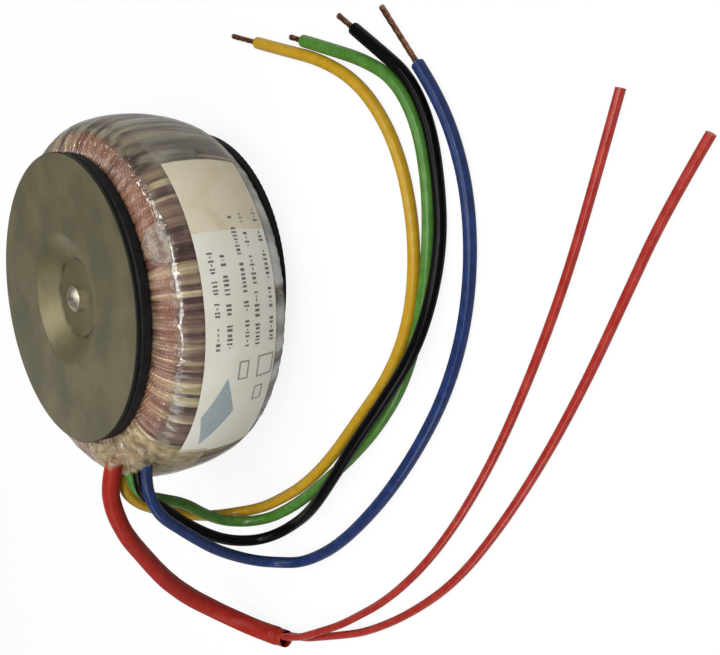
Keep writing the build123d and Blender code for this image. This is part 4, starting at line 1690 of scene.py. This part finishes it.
# ---- studio ---------------------------------------------------------------------------------
@dataclass
class Studio:
    """A pale floor, a white backdrop, soft lamps and the camera.

    look and right are directions. The floor lies a hair below the part, so they never touch.
    """

    eye: Point = (1.8 * MM, -268.9 * MM, 171.0 * MM)
    look: Point = (-0.0683, 0.7473, -0.6610)
    right: Point = (-0.118, -0.664, -0.738)
    lens_mm: float = 45.645
    warm: str = "#fffdf9"
    paper: str = "#bcbcba"
    floor_radius: float = 3.0
    floor_sides: int = 64
    below: float = 0.05 * MM

    def camera(self) -> None:
        """Set the camera: its -Z looks along look and its +X points along right."""
        data = bpy.data.cameras.new("camera")
        data.sensor_fit = "HORIZONTAL"
        data.sensor_width = 36.0
        data.lens = self.lens_mm
        data.clip_start = 0.01
        data.clip_end = 20.0
        thing = bpy.data.objects.new("camera", data)
        back = -Vector(self.look).normalized()
        right = (Vector(self.right) - Vector(self.right).dot(back) * back).normalized()
        up = back.cross(right)
        turned = Matrix((right, up, back)).transposed().to_4x4()
        thing.matrix_world = Matrix.Translation(self.eye) @ turned
        bpy.context.scene.collection.objects.link(thing)
        bpy.context.scene.camera = thing

    def lamp(
        self, name: str, place: Point, target: Point, size: tuple[float, float], power: float
    ) -> None:
        """Hang a rectangular soft lamp.

        Args:
            name: The lamp's name.
            place: Where it hangs.
            target: What it points at.
            size: Its width and height.
            power: Its power in watts.
        """
        data = bpy.data.lights.new(name, "AREA")
        data.shape = "RECTANGLE"
        data.size, data.size_y = size
        data.energy = power
        thing = bpy.data.objects.new(name, data)
        thing.location = place
        thing.rotation_euler = (Vector(target) - Vector(place)).to_track_quat("-Z", "Y").to_euler()
        bpy.context.scene.collection.objects.link(thing)

    def world(self, level: float = 0.28) -> None:
        """Make the surroundings: white to the eye, softer as light, bright at the mirrored horizon.

        Args:
            level: How strongly they light the object.
        """
        world = bpy.data.worlds.new("studio")
        world.use_nodes = True
        tree = world.node_tree
        tree.nodes.clear()
        path = add(tree, "LightPath")
        seen = add(tree, "Math", {
            0: path.outputs["Is Camera Ray"], 1: path.outputs["Is Transmission Ray"],
        }, operation="MAXIMUM")
        soft = add(tree, "Background", {"Color": linear(self.warm), "Strength": level})
        ray = add(tree, "TexCoord")
        parts = add(tree, "SeparateXYZ", {0: ray.outputs["Object"]})
        rise = add(tree, "Math", {0: parts.outputs["Z"]}, operation="ABSOLUTE")
        mirrored = add(tree, "MapRange", {
            "Value": rise.outputs[0],
            "From Min": 0.15, "From Max": 0.5, "To Min": 0.4, "To Max": 0.14,
        })
        gloss = add(tree, "Background", {
            "Color": linear(self.warm), "Strength": mirrored.outputs["Result"],
        })
        white = add(tree, "Background", {"Color": linear("#ffffff"), "Strength": 1.0})
        lit = add(tree, "MixShader", {
            0: path.outputs["Is Glossy Ray"], 1: soft.outputs[0], 2: gloss.outputs[0],
        })
        shown = add(tree, "MixShader", {
            0: seen.outputs[0], 1: lit.outputs[0], 2: white.outputs[0],
        })
        add(tree, "OutputWorld", {"Surface": shown.outputs[0]})
        bpy.context.scene.world = world

    def floor(self) -> None:
        """Lay a round pale floor, white from above but for the soft shadow, clear from below."""
        turn = 2 * np.pi * np.arange(self.floor_sides) / self.floor_sides
        reach = self.floor_radius
        level = np.full(self.floor_sides, -self.below)
        rim = np.stack([reach * np.cos(turn), reach * np.sin(turn), level], 1)
        thing = make_object("floor", rim, np.arange(self.floor_sides)[None, :], smooth=False)
        material = bpy.data.materials.new("pale_floor")
        material.use_nodes = True
        tree = material.node_tree
        tree.nodes.clear()
        path = add(tree, "LightPath")
        paper = add(tree, "BsdfDiffuse", {"Color": linear(self.paper)})
        glow = add(tree, "Emission", {"Color": linear("#ffffff"), "Strength": 1.1})
        share = add(tree, "Math", {
            0: path.outputs["Is Camera Ray"], 1: 0.8,
        }, operation="MULTIPLY")
        mixed = add(tree, "MixShader", {
            0: share.outputs[0], 1: paper.outputs[0], 2: glow.outputs[0],
        })
        side = add(tree, "NewGeometry")
        clear = add(tree, "BsdfTransparent")
        faced = add(tree, "MixShader", {
            0: side.outputs["Backfacing"], 1: mixed.outputs[0], 2: clear.outputs[0],
        })
        add(tree, "OutputMaterial", {"Surface": faced.outputs[0]})
        thing.data.materials.append(material)

    def build(self) -> None:
        """Set up the whole studio."""
        self.camera()
        self.world()
        self.floor()
        centre = (0.0, 0.0, 0.03)
        self.lamp("overhead_lamp", (0.1, -0.06, 0.8), centre, (0.9, 0.22), 2.6)
        self.lamp("front_lamp", (0.0, -0.48, 0.62), centre, (0.7, 0.035), 2.6)
        self.lamp("left_front_lamp", (-0.5, -0.3, 0.62), centre, (0.5, 0.035), 0.6)
        self.lamp("right_front_lamp", (0.48, -0.28, 0.7), centre, (0.6, 0.035), 1.8)
        self.lamp("side_lamp", (-0.7, -0.15, 0.4), centre, (0.3, 0.3), 1.3)
        self.lamp("back_lamp", (-0.3, 0.8, 0.25), centre, (0.7, 0.3), 0.5)


def main() -> None:
    """Build every sub-assembly in order."""
    logging.basicConfig(level=logging.INFO, format="%(name)s: %(message)s")
    bpy.context.scene.view_settings.view_transform = "Standard"
    Studio().build()
    LeadSet().build()
    section = ToroidSection()
    SecondaryWinding(section).build()
    OuterFilm(section).build()
    FilmFold(section).build()
    AnchorTape(section).build()
    RatingLabel(section).build()
    steel = PassivatedSteel("passivated_steel", "#837c5f", "#756e53")
    rubber = Neoprene("sponge_neoprene")
    zinc = BrightZinc("bright_zinc_plate")
    tape = WrapTape("creped_polyester_tape")
    tones = ((0.0, "#5a382c"), (1.0, "#8a5a44"))
    yellowed = ClearFilm("yellowed_label_film", "#8f8a78", "#c2bba6", 0.03, 0.16, 0.12, 0.2, 5.0)
    Hardware({
        "upper_disc": steel,
        "lower_disc": steel,
        "upper_pad": rubber,
        "lower_pad": rubber,
        "centre_screw": zinc,
        "plain_washer": zinc,
        "hex_nut": zinc,
        "rating_label": LabelPaper("coated_label_stock"),
        "label_cover_film": yellowed,
        "core": WoundStrip("wound_silicon_steel_strip"),
        "core_insulation": tape,
        "winding_insulation": tape,
        "primary_winding": EnamelledCopper("enamelled_primary_wire", tones),
    }).build()


if __name__ == "__main__":
    main()
